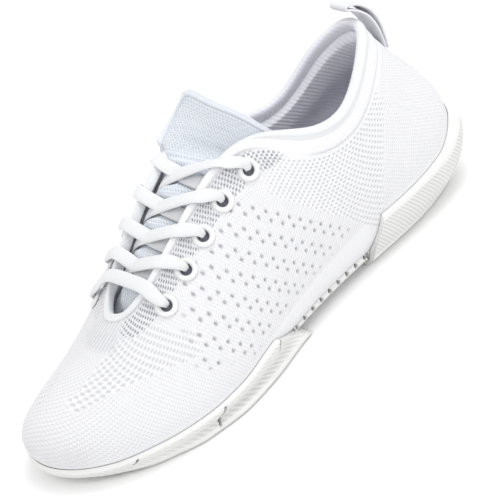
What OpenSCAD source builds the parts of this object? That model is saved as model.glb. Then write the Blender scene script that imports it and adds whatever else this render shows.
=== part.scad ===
/* [Upper] */
// Thickness of the knitted upper
knit_t = 1.6; // [1.2:0.1:1.8]
// Thickness of the lining cloth
lining_t = 1.0; // [0.8:0.1:1.1]
// Depth of the foam in the collar
collar_foam_t = 3.6; // [2.4:0.2:4]
// Thickness of the stiff heel cup
counter_t = 1.0; // [0.7:0.1:1.1]
// Radius of the round binding on the collar edge
binding_r = 2.6; // [2:0.2:3]

/* [Eyelets and lace] */
// Outer diameter of an eyelet's flange
eyelet_od = 10; // [9:0.5:11]
// Bore of an eyelet
eyelet_bore = 5; // [4.5:0.25:5.5]
// Width of the flat lace
lace_w = 6; // [5:0.5:6.5]
// Thickness of the flat lace
lace_t = 1.8; // [1.4:0.2:2]

/* [Tongue] */
// Thickness of the tongue's face cloth
tongue_face_t = 1.2; // [0.9:0.1:1.4]
// Thickness of the tongue's foam
tongue_foam_t = 2.8; // [2:0.2:3]

/* [Sole] */
// Thickness of the rubber under the foot
tread_t = 2.6; // [2.2:0.1:2.8]
// Thickness of the sole's side wall
wall_t = 2.3; // [1.8:0.1:2.6]
// Thickness of the insole
insole_t = 3.2; // [2.4:0.2:4]
// Depth of the tread grooves
groove_d = 0.8; // [0.5:0.1:1]
// Where the sole bends, measured forward of the shoe's waist
flex_y = 57; // [56:0.5:58]
// Height of the bend line above the floor
flex_z = 10; // [9.5:0.5:10.5]

/* [Pull loop] */
// Width of the pull loop's webbing
loop_w = 11; // [9:1:13]
// Thickness of the pull loop's webbing
loop_t = 1.5; // [1.2:0.1:1.8]

/* [Hidden] */

// Moves everything so the middle of the footprint is the frame's origin.
module home() translate([-2.31,-6.1,0]) children();

// Control net of the upper's outer face. 25 stations run round the shoe: heel
// back, outer side, toe, inner side. 6 rows run from the lasted edge up to the
// edge of the opening. +X is the outer side, -Y the toe, +Z up.
UP = [
 [[0,119,8],[0,133.3,21],[0,133,42],[0,122.5,61],[0,110,78],[0,105.5,91]],
 [[13,114,7],[20,125.8,20],[19.5,125.4,42],[15.5,116.4,61],[12,106,78],[11,101.5,89.5]],
 [[22,97,6],[30.5,103.5,18],[30,102.5,38],[26.5,98,57],[22,92,73],[20,88.5,84]],
 [[25,72,6],[32,77,18],[32.5,77,36],[31.5,76,51],[29,75.5,66],[26.5,74,76]],
 [[25,48,7],[32,50,18],[34,52,34],[33.5,54,48],[31.5,57,61],[29.5,58,70]],
 [[27,22,7],[34,22,17],[36,24,33],[34.5,27,48],[31,31,63],[27.5,37,75]],
 [[31,-4,6],[38,-4,15],[39.5,-1,31],[37,3,49],[30,9,71],[20,18,93]],
 [[37,-26,5],[44,-26,13],[44,-23,28],[39,-18,46],[29,-9,69],[15.5,-2,88]],
 [[41,-46,5],[48,-46,12],[46.5,-44,26],[40,-38,43],[29,-30,62],[16,-22,78]],
 [[41,-66,5.5],[48,-66,12],[45,-64,24],[38,-58,40],[28,-50,54],[17.5,-42,68]],
 [[36,-86,6],[42,-88,12],[39,-86,24],[32,-78,37],[22.5,-67,48],[15,-59,57]],
 [[25,-106,6.5],[30,-109,12.5],[28,-106,25],[22,-95,35],[13,-78,45],[8,-64,52]],
 [[9,-117.5,6.5],[11,-122.5,12.5],[10,-119,26],[8,-106,35],[4,-85,43],[2,-66,51]],
 [[-8,-121,6.5],[-9,-126.5,12.5],[-8,-123,26],[-6,-110,34],[-4,-88,41.5],[-2,-65,51]],
 [[-22,-115,6.5],[-27,-119,12],[-23,-115,22],[-17,-102,31],[-11,-83,39.5],[-6,-62,51.5]],
 [[-31,-98,6.5],[-35.5,-100,12],[-32,-98,20],[-25,-89,29],[-17,-73,40.5],[-10,-56,55]],
 [[-36,-77,5.5],[-41,-77,12],[-38,-75,21],[-31,-69,33],[-22,-60,46],[-12,-44,65]],
 [[-38,-54,5],[-43,-54,12],[-40.5,-52,24],[-35,-47,39],[-25.5,-40,56],[-14.5,-27,76.5]],
 [[-35,-30,6],[-41,-30,14],[-39.5,-28,29],[-34.5,-24,46],[-28,-18,66],[-18,-8.5,86]],
 [[-29,-4,8],[-35,-4,17],[-35,-2,34],[-33,2,52],[-29,6.5,72],[-23,13,88.5]],
 [[-24,24,9],[-30.5,24,20],[-32.5,26,36],[-32,29,50],[-29.5,33,62],[-27,37,71]],
 [[-23,50,8],[-29.5,52,20],[-32,54,34],[-32,56,46],[-30.5,58,56],[-28.5,60,63.5]],
 [[-23,74,7],[-30,77,19],[-31.5,78,35],[-30,78,49],[-27.5,77,61],[-25.5,76,70]],
 [[-20,97,6.5],[-28,103.5,19],[-28,102.5,38],[-25,98,57],[-21,92,72.5],[-19,88.5,82]],
 [[-12,114,7],[-19,125.8,20],[-18.5,125.4,42],[-14.5,116.4,61],[-11.5,106,78],[-10.5,101.5,89]],
];
K = len(UP);
R = len(UP[0]);

// How far the tread reaches past the lasted edge, one value a station.
TREAD = [3,2,-0.5,-1.5,-1.5,0,4,5,5,3.5,1,-1.5,-1.5,-1,-1,0,2,3.5,3.5,2,0,-1,-1,0,2];

// Row position where the side wall of the sole ends, one value a station.
WALL = [1.75,1.6,1.35,1.3,1.35,1.25,1.2,1.15,0.95,0.85,0.8,0.65,0.6,0.6,0.6,0.7,0.85,0.95,1.1,1.2,1.3,1.3,1.3,1.35,1.6];

// Centre line of the tongue above its bend: x, y, z, half width, how far its
// inner side curls back and down, and how far its outer side drops.
TONGUE_TOP = [[-2.5,0.5,86.5,14,0.15,0.15,0.34],[-3.5,1.5,90,16.5,0,0.06,0.34],[-5,2.8,93.5,20.5,-0.1,0.06,0.34],[-4.5,8,99.5,19.5,0,0.05,0.4],[-1,14,107,16,0.06,-0.08,0.55]];

// Row position and station of the eyelets, bottom pair last.
EYE_L = [[6.24,4.52],[7.06,4.42],[7.78,4.32],[8.44,4.22],[9.16,4.06]];
EYE_M = [[18.7,4.5],[17.9,4.4],[17.2,4.3],[16.55,4.2],[15.85,4.06]];

function bw(t) = [pow(1-t,3)/6, (3*t*t*t-6*t*t+4)/6, (-3*t*t*t+3*t*t+3*t+1)/6, t*t*t/6];
function md(k) = (k % K + K) % K;
function ctl(k,j) = let(r=UP[md(k)]) j < 0 ? 2*r[0]-r[1] : j > R-1 ? 2*r[R-1]-r[R-2] : r[j];
function rowp(k,i,b) = b[0]*ctl(k,i-1)+b[1]*ctl(k,i)+b[2]*ctl(k,i+1)+b[3]*ctl(k,i+2);
// A point of the outer face at station u and row v.
function S(u,v) = let(iu=floor(u), iv=min(floor(v),R-2), a=bw(u-iu), b=bw(v-iv))
  a[0]*rowp(iu-1,iv,b)+a[1]*rowp(iu,iv,b)+a[2]*rowp(iu+1,iv,b)+a[3]*rowp(iu+2,iv,b);
function unit(p) = p/norm(p);
function Nm(u,v) = let(e=0.05, du=S(u+e,v)-S(u-e,v), dv=S(u,min(v+e,R-1))-S(u,max(v-e,0))) unit(cross(dv,du));
// A point off the outer face by d along its outward normal.
function Q(u,v,d) = S(u,v)+d*Nm(u,v);
function Hn(u) = let(n=Nm(u,0.4)) unit([n[0],n[1],0]);
function lerp(a,b,t) = a+(b-a)*t;
function tab(T,u) = let(i=floor(u), f=u-i, s=f*f*(3-2*f)) lerp(T[md(i)],T[md(i+1)],s);
function clamp(x) = max(0,min(1,x));
function sstep(a,b,x) = let(t=clamp((x-a)/(b-a))) t*t*(3-2*t);
// Distance in stations from the middle of the heel.
function ud(u) = min(md(u), K-md(u));
// How thick the collar foam and the heel cup are at a place.
function foam_at(u,v) = collar_foam_t*sstep(6,5,ud(u))*sstep(2.8,3.8,v)*(1-0.75*sstep(4.6,5,v));
function counter_at(u,v) = (counter_t+0.35)*sstep(3.5,3,ud(u))*sstep(2.8,2.3,v);
function stay_at(u,v) = 1.05*sstep(5.0,5.5,ud(u))*sstep(10.5,10,ud(u))*sstep(3.3,3.8,v);
function puff_at(u,v) = 0.95*sstep(9.5,10,ud(u))*sstep(2.8,2.3,v);
function lin_out(u,v) = knit_t+0.3+foam_at(u,v)+counter_at(u,v)+stay_at(u,v)+puff_at(u,v);
function lin_in(u,v) = lin_out(u,v)+lining_t;
function ground(y) = (y < -78 ? pow((-78-y)/48,2)*4.6 : 0) + (y > 98 ? pow((y-98)/30,2)*3.2 : 0);

// A closed shell between two offset faces of the upper.
module sheet(us, vs, fo, fi, closed=false) {
  nu = len(us); nv = len(vs); m = closed ? nu : nu-1;
  pts = concat([for (u=us) for (v=vs) Q(u,v,-fo(u,v))], [for (u=us) for (v=vs) Q(u,v,-fi(u,v))]);
  function id(s,i,j) = s*nu*nv+(i%nu)*nv+j;
  f = concat(
    [for (i=[0:m-1]) for (j=[0:nv-2]) each [[id(0,i,j),id(0,i+1,j),id(0,i+1,j+1)],[id(0,i,j),id(0,i+1,j+1),id(0,i,j+1)]]],
    [for (i=[0:m-1]) for (j=[0:nv-2]) each [[id(1,i,j),id(1,i+1,j+1),id(1,i+1,j)],[id(1,i,j),id(1,i,j+1),id(1,i+1,j+1)]]],
    [for (i=[0:m-1]) each [[id(1,i,0),id(1,i+1,0),id(0,i+1,0)],[id(1,i,0),id(0,i+1,0),id(0,i,0)],
       [id(0,i,nv-1),id(0,i+1,nv-1),id(1,i+1,nv-1)],[id(0,i,nv-1),id(1,i+1,nv-1),id(1,i,nv-1)]]],
    closed ? [] : [for (j=[0:nv-2]) each [[id(0,0,j),id(0,0,j+1),id(1,0,j+1)],[id(0,0,j),id(1,0,j+1),id(1,0,j)],
       [id(0,nu-1,j),id(1,nu-1,j+1),id(0,nu-1,j+1)],[id(0,nu-1,j),id(1,nu-1,j),id(1,nu-1,j+1)]]]);
  polyhedron(pts, f, convexity=8);
}

// A solid of closed loops round the shoe, from the bottom face through the
// outside to the top face. Loop entries are lists of points, one a station.
module loops(L) {
  n = len(L[0]); m = len(L); h = floor(n/2);
  function id(l,i) = l*n+(i%n);
  // pairs of stations across the shoe close the two end faces
  cap0 = [for (i=[0:h-1]) each (i == 0 ? [[id(0,0),id(0,1),id(0,n-1)]] :
     i == h-1 && n%2 == 0 ? [[id(0,i),id(0,i+1),id(0,n-i)]] :
     [[id(0,i),id(0,i+1),id(0,n-i)],[id(0,i+1),id(0,n-i-1),id(0,n-i)]])];
  cap1 = [for (f=cap0) [f[0]+(m-1)*n, f[2]+(m-1)*n, f[1]+(m-1)*n]];
  sides = [for (l=[0:m-2]) for (i=[0:n-1]) each [[id(l,i),id(l+1,i+1),id(l,i+1)],[id(l,i),id(l+1,i),id(l+1,i+1)]]];
  polyhedron([for (l=L) each l], [for (f=concat(cap0,cap1,sides)) [f[0],f[2],f[1]]], convexity=6);
}

// Half spaces on each side of the line where the sole bends. Above the line
// the upper keeps a wedge that folds, so the two halves lean apart there.
t_rear = tan(14); t_front = tan(40.5);
module side(poly) { translate([80,0,0]) rotate([90,0,-90]) linear_extrude(160) polygon([for (p=poly) [-p[0],p[1]]]); }
module toe_zone() side([[-flex_y-0.4,-20],[-flex_y-0.4,flex_z-0.3],[-flex_y-0.4-100*t_front,flex_z-0.3+100],[-260,flex_z+100],[-260,-20]]);
module rear_zone() side([[-flex_y,-20],[-flex_y,flex_z],[-flex_y-100*t_rear,flex_z+100],[260,flex_z+100],[260,-20]]);
module fold_zone() side([[-flex_y-0.9,flex_z+1.2],[-flex_y-0.6-100*t_rear,flex_z+100],[-flex_y+0.2-100*t_front,flex_z+100]]);

US = [for (i=[0:0.5:K-0.5]) i];
VS = [0,0.3,0.65,1,1.4,1.8,2.3,2.8,3.3,3.8,4.2,4.6,5];
TS = [for (i=[7.5:0.5:17.5]) i];
module upper_all(us=US) sheet(us, VS, function(u,v) 0, function(u,v) knit_t, len(us) == len(US));
module lining_all(us=US) sheet(us, [0.05,0.3,0.65,1,1.4,1.8,2.3,2.8,3.3,3.8,4.2,4.6,4.95], function(u,v) lin_out(u,v), function(u,v) lin_in(u,v), len(us) == len(US));

// Place children on the upper at station u, row v, +Z along the outward normal.
module on_upper(u,v,d=0) {
  p = Q(u,v,d); z = Nm(u,v); y0 = S(u-0.1,v)-S(u+0.1,v); x = unit(cross(y0,z)); y = cross(z,x);
  multmatrix([[x[0],y[0],z[0],p[0]],[x[1],y[1],z[1],p[1]],[x[2],y[2],z[2],p[2]],[0,0,0,1]]) children();
}
module eyelet_holes(E,d) for (e=E) on_upper(e[0],e[1]) translate([0,0,-9]) cylinder(d=d,h=14,$fn=32);
EY_IN = knit_t+1.3+lining_t+0.35;
module eyelet() rotate_extrude($fn=48) {
  polygon([[eyelet_bore/2,0.1],[eyelet_bore/2+0.9,1.2],[eyelet_od/2-1.2,1.5],[eyelet_od/2-0.2,1.05],[eyelet_od/2,0.5],
    [eyelet_bore/2+0.9,0.5],[eyelet_bore/2+0.9,-EY_IN-0.25],[eyelet_od/2-1,-EY_IN-0.25],[eyelet_od/2-1,-EY_IN-0.9],[eyelet_bore/2,-EY_IN-0.9]]);
}

module upper_toe() home() color("white") intersection() { upper_all(TS); toe_zone(); }
module upper_vamp() home() color("whitesmoke") intersection() { upper_all(TS); fold_zone(); }
module upper_quarters() home() color("white") difference() {
  intersection() { upper_all(); rear_zone(); }
  eyelet_holes(EYE_L, eyelet_bore+2.4); eyelet_holes(EYE_M, eyelet_bore+2.4);
}
module lining_toe() home() color("lavender") intersection() { lining_all(TS); toe_zone(); }
module lining_vamp() home() color("lavender") intersection() { lining_all(TS); fold_zone(); }
module lining_quarters() home() color("lavender") difference() {
  intersection() { lining_all(); rear_zone(); }
  eyelet_holes(EYE_L, eyelet_bore+2.4); eyelet_holes(EYE_M, eyelet_bore+2.4);
}
module toe_puff() home() color("gainsboro") intersection() {
  sheet([for (i=[10.5:0.5:15]) i],[0.05,0.3,0.65,1,1.4,1.8,2.25],function(u,v) knit_t+0.25,function(u,v) knit_t+0.85); toe_zone(); }
module heel_counter() home() color("gainsboro")
  sheet([for (i=[-3:0.5:3]) i],[0.05,0.3,0.65,1,1.4,1.8,2.3],function(u,v) knit_t+0.25,function(u,v) knit_t+0.25+counter_t);
module collar_foam() home() color("ghostwhite")
  sheet([for (i=[-5:0.5:5]) i],[3.3,3.8,4.2,4.6,4.92],function(u,v) knit_t+0.25,
    function(u,v) max(knit_t+0.6, lin_out(u,v)-0.35));
module eyestay(u0,u1,E) difference() {
  sheet([for (i=[u0:0.5:u1+0.01]) i],[3.8,4.2,4.6,4.92],function(u,v) knit_t+0.25,function(u,v) knit_t+0.85);
  eyelet_holes(E, eyelet_bore+2.4);
}
module eyestay_lateral() home() color("white") eyestay(6,9.5,EYE_L);
module eyestay_medial() home() color("white") eyestay(K-9.5,K-6,EYE_M);
module eyelets_lateral() home() color("white") for (e=EYE_L) on_upper(e[0],e[1]) eyelet();
module eyelets_medial() home() color("white") for (e=EYE_M) on_upper(e[0],e[1]) eyelet();

// A tube through frames [centre, across, up], with a width and a height each.
module tube(F, W, H, sides=8) {
  n = len(F);
  pts = [for (i=[0:n-1]) for (k=[0:sides-1]) let(a=-360*(k+0.5)/sides)
    F[i][0]+F[i][1]*W[i]/2*cos(a)/cos(180/sides)*(1)+F[i][2]*H[i]/2*sin(a)/cos(180/sides)];
  f = concat([for (i=[0:n-2]) for (k=[0:sides-1]) let(a=i*sides+k,b=i*sides+(k+1)%sides) each
      [[a,b,b+sides],[a,b+sides,a+sides]]],
    [[for (k=[sides-1:-1:0]) k]], [[for (k=[0:sides-1]) (n-1)*sides+k]]);
  polyhedron(pts, f, convexity=10);
}

// The binding follows the opening's edge along the collar.
module collar_binding() home() color("white") {
  us = [for (i=[-5.4:0.45:5.41]) i];
  F = [for (u=us) let(p=Q(u,5,-(lin_in(u,4.95)/2)), dv=unit(S(u,5)-S(u,4.8)), n=Nm(u,4.95)) [p+dv*(binding_r+0.45), n, dv]];
  tube(F, [for (u=us) 2*binding_r*(0.75+0.25*sstep(5.4,4.6,abs(u)))+1], [for (u=us) 2*binding_r*(0.8+0.2*sstep(5.4,4.6,abs(u)))], 10);
}

// Sole: bottom loop, outer loops up the wall, over the lip, down the inside.
SU = [for (i=[0:0.5:K-0.5]) i];
function zb(p,h) = [p[0],p[1],ground(p[1])+h];
function outl(u,d) = let(p=S(u,0)+Hn(u)*d) p;
function heelf(u) = sstep(3,0.6,ud(u));
function wall_at(u) = wall_t+3.4*heelf(u);
module cup() loops([
  [for (u=SU) zb(outl(u,tab(TREAD,u)),0)],
  [for (u=SU) zb(outl(u,tab(TREAD,u)+1.5),0.9)],
  [for (u=SU) let(p=outl(u,max(tab(TREAD,u)+2.2,2.8))) [p[0],p[1],ground(p[1])+2.8]],
  [for (u=SU) Q(u,0.5*tab(WALL,u),wall_at(u)+0.5)],
  [for (u=SU) Q(u,tab(WALL,u)-0.14,wall_at(u))],
  [for (u=SU) Q(u,tab(WALL,u)-0.02,wall_at(u)-1.3-1.4*heelf(u))],
  [for (u=SU) Q(u,tab(WALL,u),0.3)],
  [for (u=SU) Q(u,0.78*tab(WALL,u),0.3)],
  [for (u=SU) Q(u,0.52*tab(WALL,u),0.3)],
  [for (u=SU) Q(u,0.26*tab(WALL,u),0.3)],
  [for (u=SU) let(p=outl(u,0.35)) [p[0],p[1],p[2]]],
  [for (u=SU) zb(outl(u,0.35),tread_t)]
]);
module fore_zone() side([[5,-20],[1.5,0.5],[-6,3],[-23,18],[-26,40],[-260,40],[-260,-20]]);
module heel_zone() side([[59,-20],[54,0.6],[49,2.6],[46.5,5.5],[48.5,9],[60,26],[66,50],[260,60],[260,-20]]);
module under(h,d0,top) loops([[for (u=SU) zb(outl(u,d0),h)], [for (u=SU) let(p=outl(u,d0)) [p[0],p[1],p[2]-top]]]);
module mid_all() under(tread_t+0.3,-0.05,0.3);
module board_all() loops([
  [for (u=SU) let(p=outl(u,-lin_in(u,0.05)-0.4)) [p[0],p[1],S(u,0)[2]]],
  [for (u=SU) let(p=outl(u,-lin_in(u,0.05)-0.4)) [p[0],p[1],S(u,0)[2]+1]]]);
module insole_all() loops([
  [for (u=SU) let(p=outl(u,-lin_in(u,0.05)-0.5)) [p[0],p[1],S(u,0)[2]+1.3]],
  [for (u=SU) let(p=outl(u,-lin_in(u,0.05)-0.5)) [p[0],p[1],S(u,0)[2]+1.3+insole_t]]]);
module grooves() for (y=[-112:8:96]) translate([-60,y,-0.01]) rotate([0,0,0]) cube([120,1.6,groove_d]);

module outsole_toe() home() color("white") difference() { intersection() { cup(); toe_zone(); fore_zone(); } grooves(); }
module outsole_ball() home() color("white") difference() { intersection() { cup(); rear_zone(); fore_zone(); } grooves(); }
module outsole_heel() home() color("white") difference() { intersection() { cup(); heel_zone(); } grooves(); }
module midsole_toe() home() color("white") intersection() { mid_all(); toe_zone(); }
module midsole_ball() home() color("white") intersection() { mid_all(); rear_zone(); translate([-80,-260,-5]) cube([160,257,60]); }
module midsole_heel() home() color("white") intersection() { mid_all(); translate([-80,50,-5]) cube([160,200,60]); }
module arch_shank() home() color("white") difference() {
  intersection() { under(4.2,0.9,0.3); translate([-80,-2.7,-5]) cube([160,48.4,60]); }
  for (y=[3:6.2:47]) for (s=[-1,1]) translate([s*28.4,y,5]) rotate([0,0,45]) cube([3.4,3.4,6],center=true);
}
module lasting_board_toe() home() color("beige") intersection() { board_all(); toe_zone(); }
module lasting_board_rear() home() color("beige") intersection() { board_all(); rear_zone(); }
module insole_toe() home() color("lavender") intersection() { insole_all(); toe_zone(); }
module insole_rear() home() color("lavender") intersection() { insole_all(); rear_zone(); }

// Tongue: rows from side to side under the two eyestays.
function under_l(u,d) = Q(u,5,-d);
function trow(u,d) = let(a=Q(u,4.5,-d-1.0), b=Q(u,5,-d), m=K-u, c=Q(m,5,-d), e=Q(m,4.5,-d-1.0), g=(b+c)/2, up=unit(Nm(u,5)+Nm(m,5)))
  [a, b, lerp(b,g,0.5)+up*1.8, g+up*2.4, lerp(c,g,0.5)+up*1.8, c, e];
function thi(T,d) = let(w=T[3], o=[T[0],T[1],T[2]], nrm=unit([-0.12,-0.80,0.58])) [for (s=[1,0.72,0.36,0,-0.36,-0.72,-1])
  o+[w*s*0.88, (s>0 ? 0.6 : T[4])*w*s*s, -(s>0 ? T[6] : T[5])*w*s*s]-nrm*d];
TB = EY_IN+4.4;
TU = [for (u=[10.5:-0.5:7]) u];
module slab(A,B) { // two stacks of rows, outer then inner
  n = len(A); m = len(A[0]);
  function id(s,i,j) = s*n*m+i*m+j;
  f = concat(
   [for (i=[0:n-2]) for (j=[0:m-2]) each [[id(0,i,j),id(0,i+1,j),id(0,i+1,j+1)],[id(0,i,j),id(0,i+1,j+1),id(0,i,j+1)]]],
   [for (i=[0:n-2]) for (j=[0:m-2]) each [[id(1,i,j),id(1,i+1,j+1),id(1,i+1,j)],[id(1,i,j),id(1,i,j+1),id(1,i+1,j+1)]]],
   [for (i=[0:n-2]) each [[id(1,i,0),id(1,i+1,0),id(0,i+1,0)],[id(1,i,0),id(0,i+1,0),id(0,i,0)],
     [id(0,i,m-1),id(0,i+1,m-1),id(1,i+1,m-1)],[id(0,i,m-1),id(1,i+1,m-1),id(1,i,m-1)]]],
   [for (j=[0:m-2]) each [[id(0,0,j),id(0,0,j+1),id(1,0,j+1)],[id(0,0,j),id(1,0,j+1),id(1,0,j)],
     [id(0,n-1,j),id(1,n-1,j+1),id(0,n-1,j+1)],[id(0,n-1,j),id(1,n-1,j),id(1,n-1,j+1)]]]);
  polyhedron([for (r=concat(A,B)) each r], [for (t=f) [t[0],t[2],t[1]]], convexity=6);
}
module tongue_lower() home() color("aliceblue") intersection() {
  slab([for (u=TU) trow(u,TB)],[for (u=TU) trow(u,TB+tongue_face_t+tongue_foam_t)]); rear_zone(); }
module tongue_top_face() home() color("aliceblue") slab([for (t=TONGUE_TOP) thi(t,0)],[for (t=TONGUE_TOP) thi(t,tongue_face_t)]);
module tongue_top_foam() home() color("white") slab([for (t=TONGUE_TOP) thi(t,tongue_face_t+0.2)],[for (t=TONGUE_TOP) thi(t,tongue_face_t+0.2+tongue_foam_t)]);
module tongue_edge_binding() home() color("white") {
  T = TONGUE_TOP[4]; r = thi([T[0]-0.8,T[1]+0.9,T[2]+2.7,T[3],T[4],T[5],T[6]], (tongue_face_t+tongue_foam_t)/2);
  tube([for (i=[6:-1:0]) [r[i],[0.12,0.80,-0.58],[-0.1,0.55,0.8]]],[for (i=[0:6]) tongue_face_t+tongue_foam_t+0.6],[for (i=[0:6]) 2.2],8);
}

// Pull loop: a strap folded double. Its two ends are sewn to the back of the
// heel and the rest bends forward over the collar.
LOOP = [[111.6,84],[110.9,89.5],[108.8,94.6],[104.8,99],[99.3,101.6]];
BASE = [[111.9,77.5],[111.7,83.3]];
function side_of(P,d) = [for (i=[0:len(P)-1]) let(t=unit(P[min(i+1,len(P)-1)]-P[max(i-1,0)])) P[i]+[-t[1],t[0]]*d];
module strap(P,d) { A = side_of(P,d); B = side_of(P,d+loop_t); polygon(concat(A,[for (i=[len(B)-1:-1:0]) B[i]])); }
module web(w) translate([w/2,0,0]) rotate([90,0,-90]) scale([-1,1,1]) linear_extrude(w) children();
module pull_loop() home() color("white") web(loop_w) {
  strap(LOOP,-loop_t); strap([for (i=[0:3]) LOOP[i]],0.25); fold();
}
// The fold at the tip joins the two layers of the strap.
module fold() { translate(LOOP[4]) rotate(-25) translate([0.4,0.15]) difference() { circle(r=loop_t+0.35,$fn=32); circle(r=0.35,$fn=32); translate([0,-5]) square([5,10]); } }
module pull_loop_base() home() color("white") web(loop_w) { strap(BASE,-loop_t); strap(BASE,0.25); }

// Lace: one flat lace from the tail inside the inner top eyelet, down through
// the crossings to the bar at the bottom and up again to the outer top eyelet.
// Each entry is a centre, a direction across the lace, its width and height.
LU = EY_IN+2.2; // depth of the lace where it runs under the eyestay
function acr(e) = let(s=e[0] < K/2 ? -1 : 1) unit(S(e[0]+0.2*s,e[1])-S(e[0]-0.2*s,e[1]));
function nx(e,t) = [e[0]+t*(e[0] < K/2 ? -1 : 1), e[1]];
function under_pts(e) = [
  [Q(e[0],e[1],1.3), acr(e), 3.5, 2.2],
  [Q(e[0],e[1],-2.2), acr(e), 3.3, 2.5],
  [Q(e[0],e[1]+0.01,-EY_IN-1.5), acr(e), 3.3, 2],
  [Q(nx(e,-0.03)[0],e[1]+0.18,-LU-0.1), acr(e), 4.4, 1.7],
  [Q(nx(e,-0.14)[0],4.82,-LU+0.1), acr(e), lace_w, lace_t]];
function cross_pts(a,b,h) = let(aa=Q(nx(a,-0.26)[0],5,-LU+1.4), m=Q(nx(a,-0.26)[0],5,0), q=Q(nx(b,-0.72)[0],5,0), up=unit(Nm(a[0],5)+Nm(b[0],5)))
  [[lerp(aa,lerp(m,q,0.2)-up*4.4,0.6), unit([0,1,0.6]), lace_w, lace_t],
   [lerp(m,q,0.5)+up*h, unit([0,1,0.6]), lace_w, lace_t],
   [Q(nx(b,-0.62)[0],5,1.9), acr(b), lace_w, lace_t],
   [Q(nx(b,-0.3)[0],lerp(b[1],5,0.55),2.7), acr(b), lace_w, lace_t],
   [Q(nx(b,-0.1)[0],b[1]+0.13,3.4), acr(b), 4.6, 2.0]];
function strand(a,b,h) = concat(cross_pts(a,b,h), under_pts(b));
HN = -0.2; HF = -2.7;
function rev(L) = [for (i=[len(L)-1:-1:0]) L[i]];
function tail_in(e) = let(w=under_pts(e)) concat([w[0],w[1],w[2],w[3]],
  [[Q(nx(e,0.06)[0],4.6,-LU-0.3), acr(e), lace_w, lace_t],[Q(nx(e,0.15)[0],4.75,-LU-0.5), acr(e), lace_w, lace_t]]);
function strand_end(a,b,h) = concat(cross_pts(a,b,h), tail_in(b));
PATH_L = concat(under_pts(EYE_L[4]), strand(EYE_L[4],EYE_M[3],HF), strand(EYE_M[3],EYE_L[2],HN), strand(EYE_L[2],EYE_M[1],HF), strand_end(EYE_M[1],EYE_L[0],HN));
PATH_M = concat(under_pts(EYE_M[4]), strand(EYE_M[4],EYE_L[3],HN), strand(EYE_L[3],EYE_M[2],HF), strand(EYE_M[2],EYE_L[1],HN), strand_end(EYE_L[1],EYE_M[0],HF));
function bar_half(e) = [[Q(nx(e,-0.42)[0],4.9,2.4), acr(e), lace_w, lace_t], [Q(nx(e,-0.25)[0],e[1]+0.45,2.7), acr(e), lace_w, lace_t],[Q(nx(e,-0.08)[0],e[1]+0.14,3.4), acr(e), 4.6, 2.0]];
BAR = [[lerp(bar_half(EYE_L[4])[0][0],bar_half(EYE_M[4])[0][0],0.5)+[0,0,0.4], unit([0,1,0.5]), lace_w, lace_t]];
LACE = concat(rev(PATH_M), rev(bar_half(EYE_M[4])), BAR, bar_half(EYE_L[4]), PATH_L);
module lace() home() color("white") {
  n = len(LACE);
  F = [for (i=[0:n-1]) let(t=unit(LACE[min(i+1,n-1)][0]-LACE[max(i-1,0)][0]), r=LACE[i][1], a=unit(r-t*(r*t))) [LACE[i][0], a, cross(t,a)]];
  tube(F, [for (q=LACE) q[2]], [for (q=LACE) q[3]], 8);
}

outsole_toe();
outsole_ball();
outsole_heel();
midsole_toe();
midsole_ball();
midsole_heel();
arch_shank();
lasting_board_toe();
lasting_board_rear();
insole_toe();
insole_rear();
upper_toe();
upper_vamp();
upper_quarters();
lining_toe();
lining_vamp();
lining_quarters();
toe_puff();
heel_counter();
collar_foam();
collar_binding();
eyestay_lateral();
eyestay_medial();
eyelets_lateral();
eyelets_medial();
lace();
tongue_lower();
tongue_top_face();
tongue_top_foam();
tongue_edge_binding();
pull_loop_base();
pull_loop();
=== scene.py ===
import bpy, bmesh, math
import numpy as np
from mathutils import Vector, Matrix


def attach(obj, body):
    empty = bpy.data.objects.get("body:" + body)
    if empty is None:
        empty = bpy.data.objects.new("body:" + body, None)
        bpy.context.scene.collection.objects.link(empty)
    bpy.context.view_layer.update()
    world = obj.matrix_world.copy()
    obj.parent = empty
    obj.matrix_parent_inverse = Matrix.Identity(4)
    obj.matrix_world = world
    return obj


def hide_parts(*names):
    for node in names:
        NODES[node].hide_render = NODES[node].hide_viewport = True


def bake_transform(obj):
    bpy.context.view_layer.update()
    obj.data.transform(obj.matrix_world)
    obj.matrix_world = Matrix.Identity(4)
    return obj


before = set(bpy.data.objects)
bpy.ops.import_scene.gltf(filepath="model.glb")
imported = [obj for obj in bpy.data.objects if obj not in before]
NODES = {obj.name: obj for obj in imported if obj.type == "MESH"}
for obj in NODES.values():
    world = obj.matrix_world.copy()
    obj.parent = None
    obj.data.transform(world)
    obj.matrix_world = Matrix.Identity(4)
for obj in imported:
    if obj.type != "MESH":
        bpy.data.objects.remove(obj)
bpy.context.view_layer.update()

# ---------------------------------------------------------------- upper's surface, in mm
HOME = np.array([-2.31, -6.1, 0.0])
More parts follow.
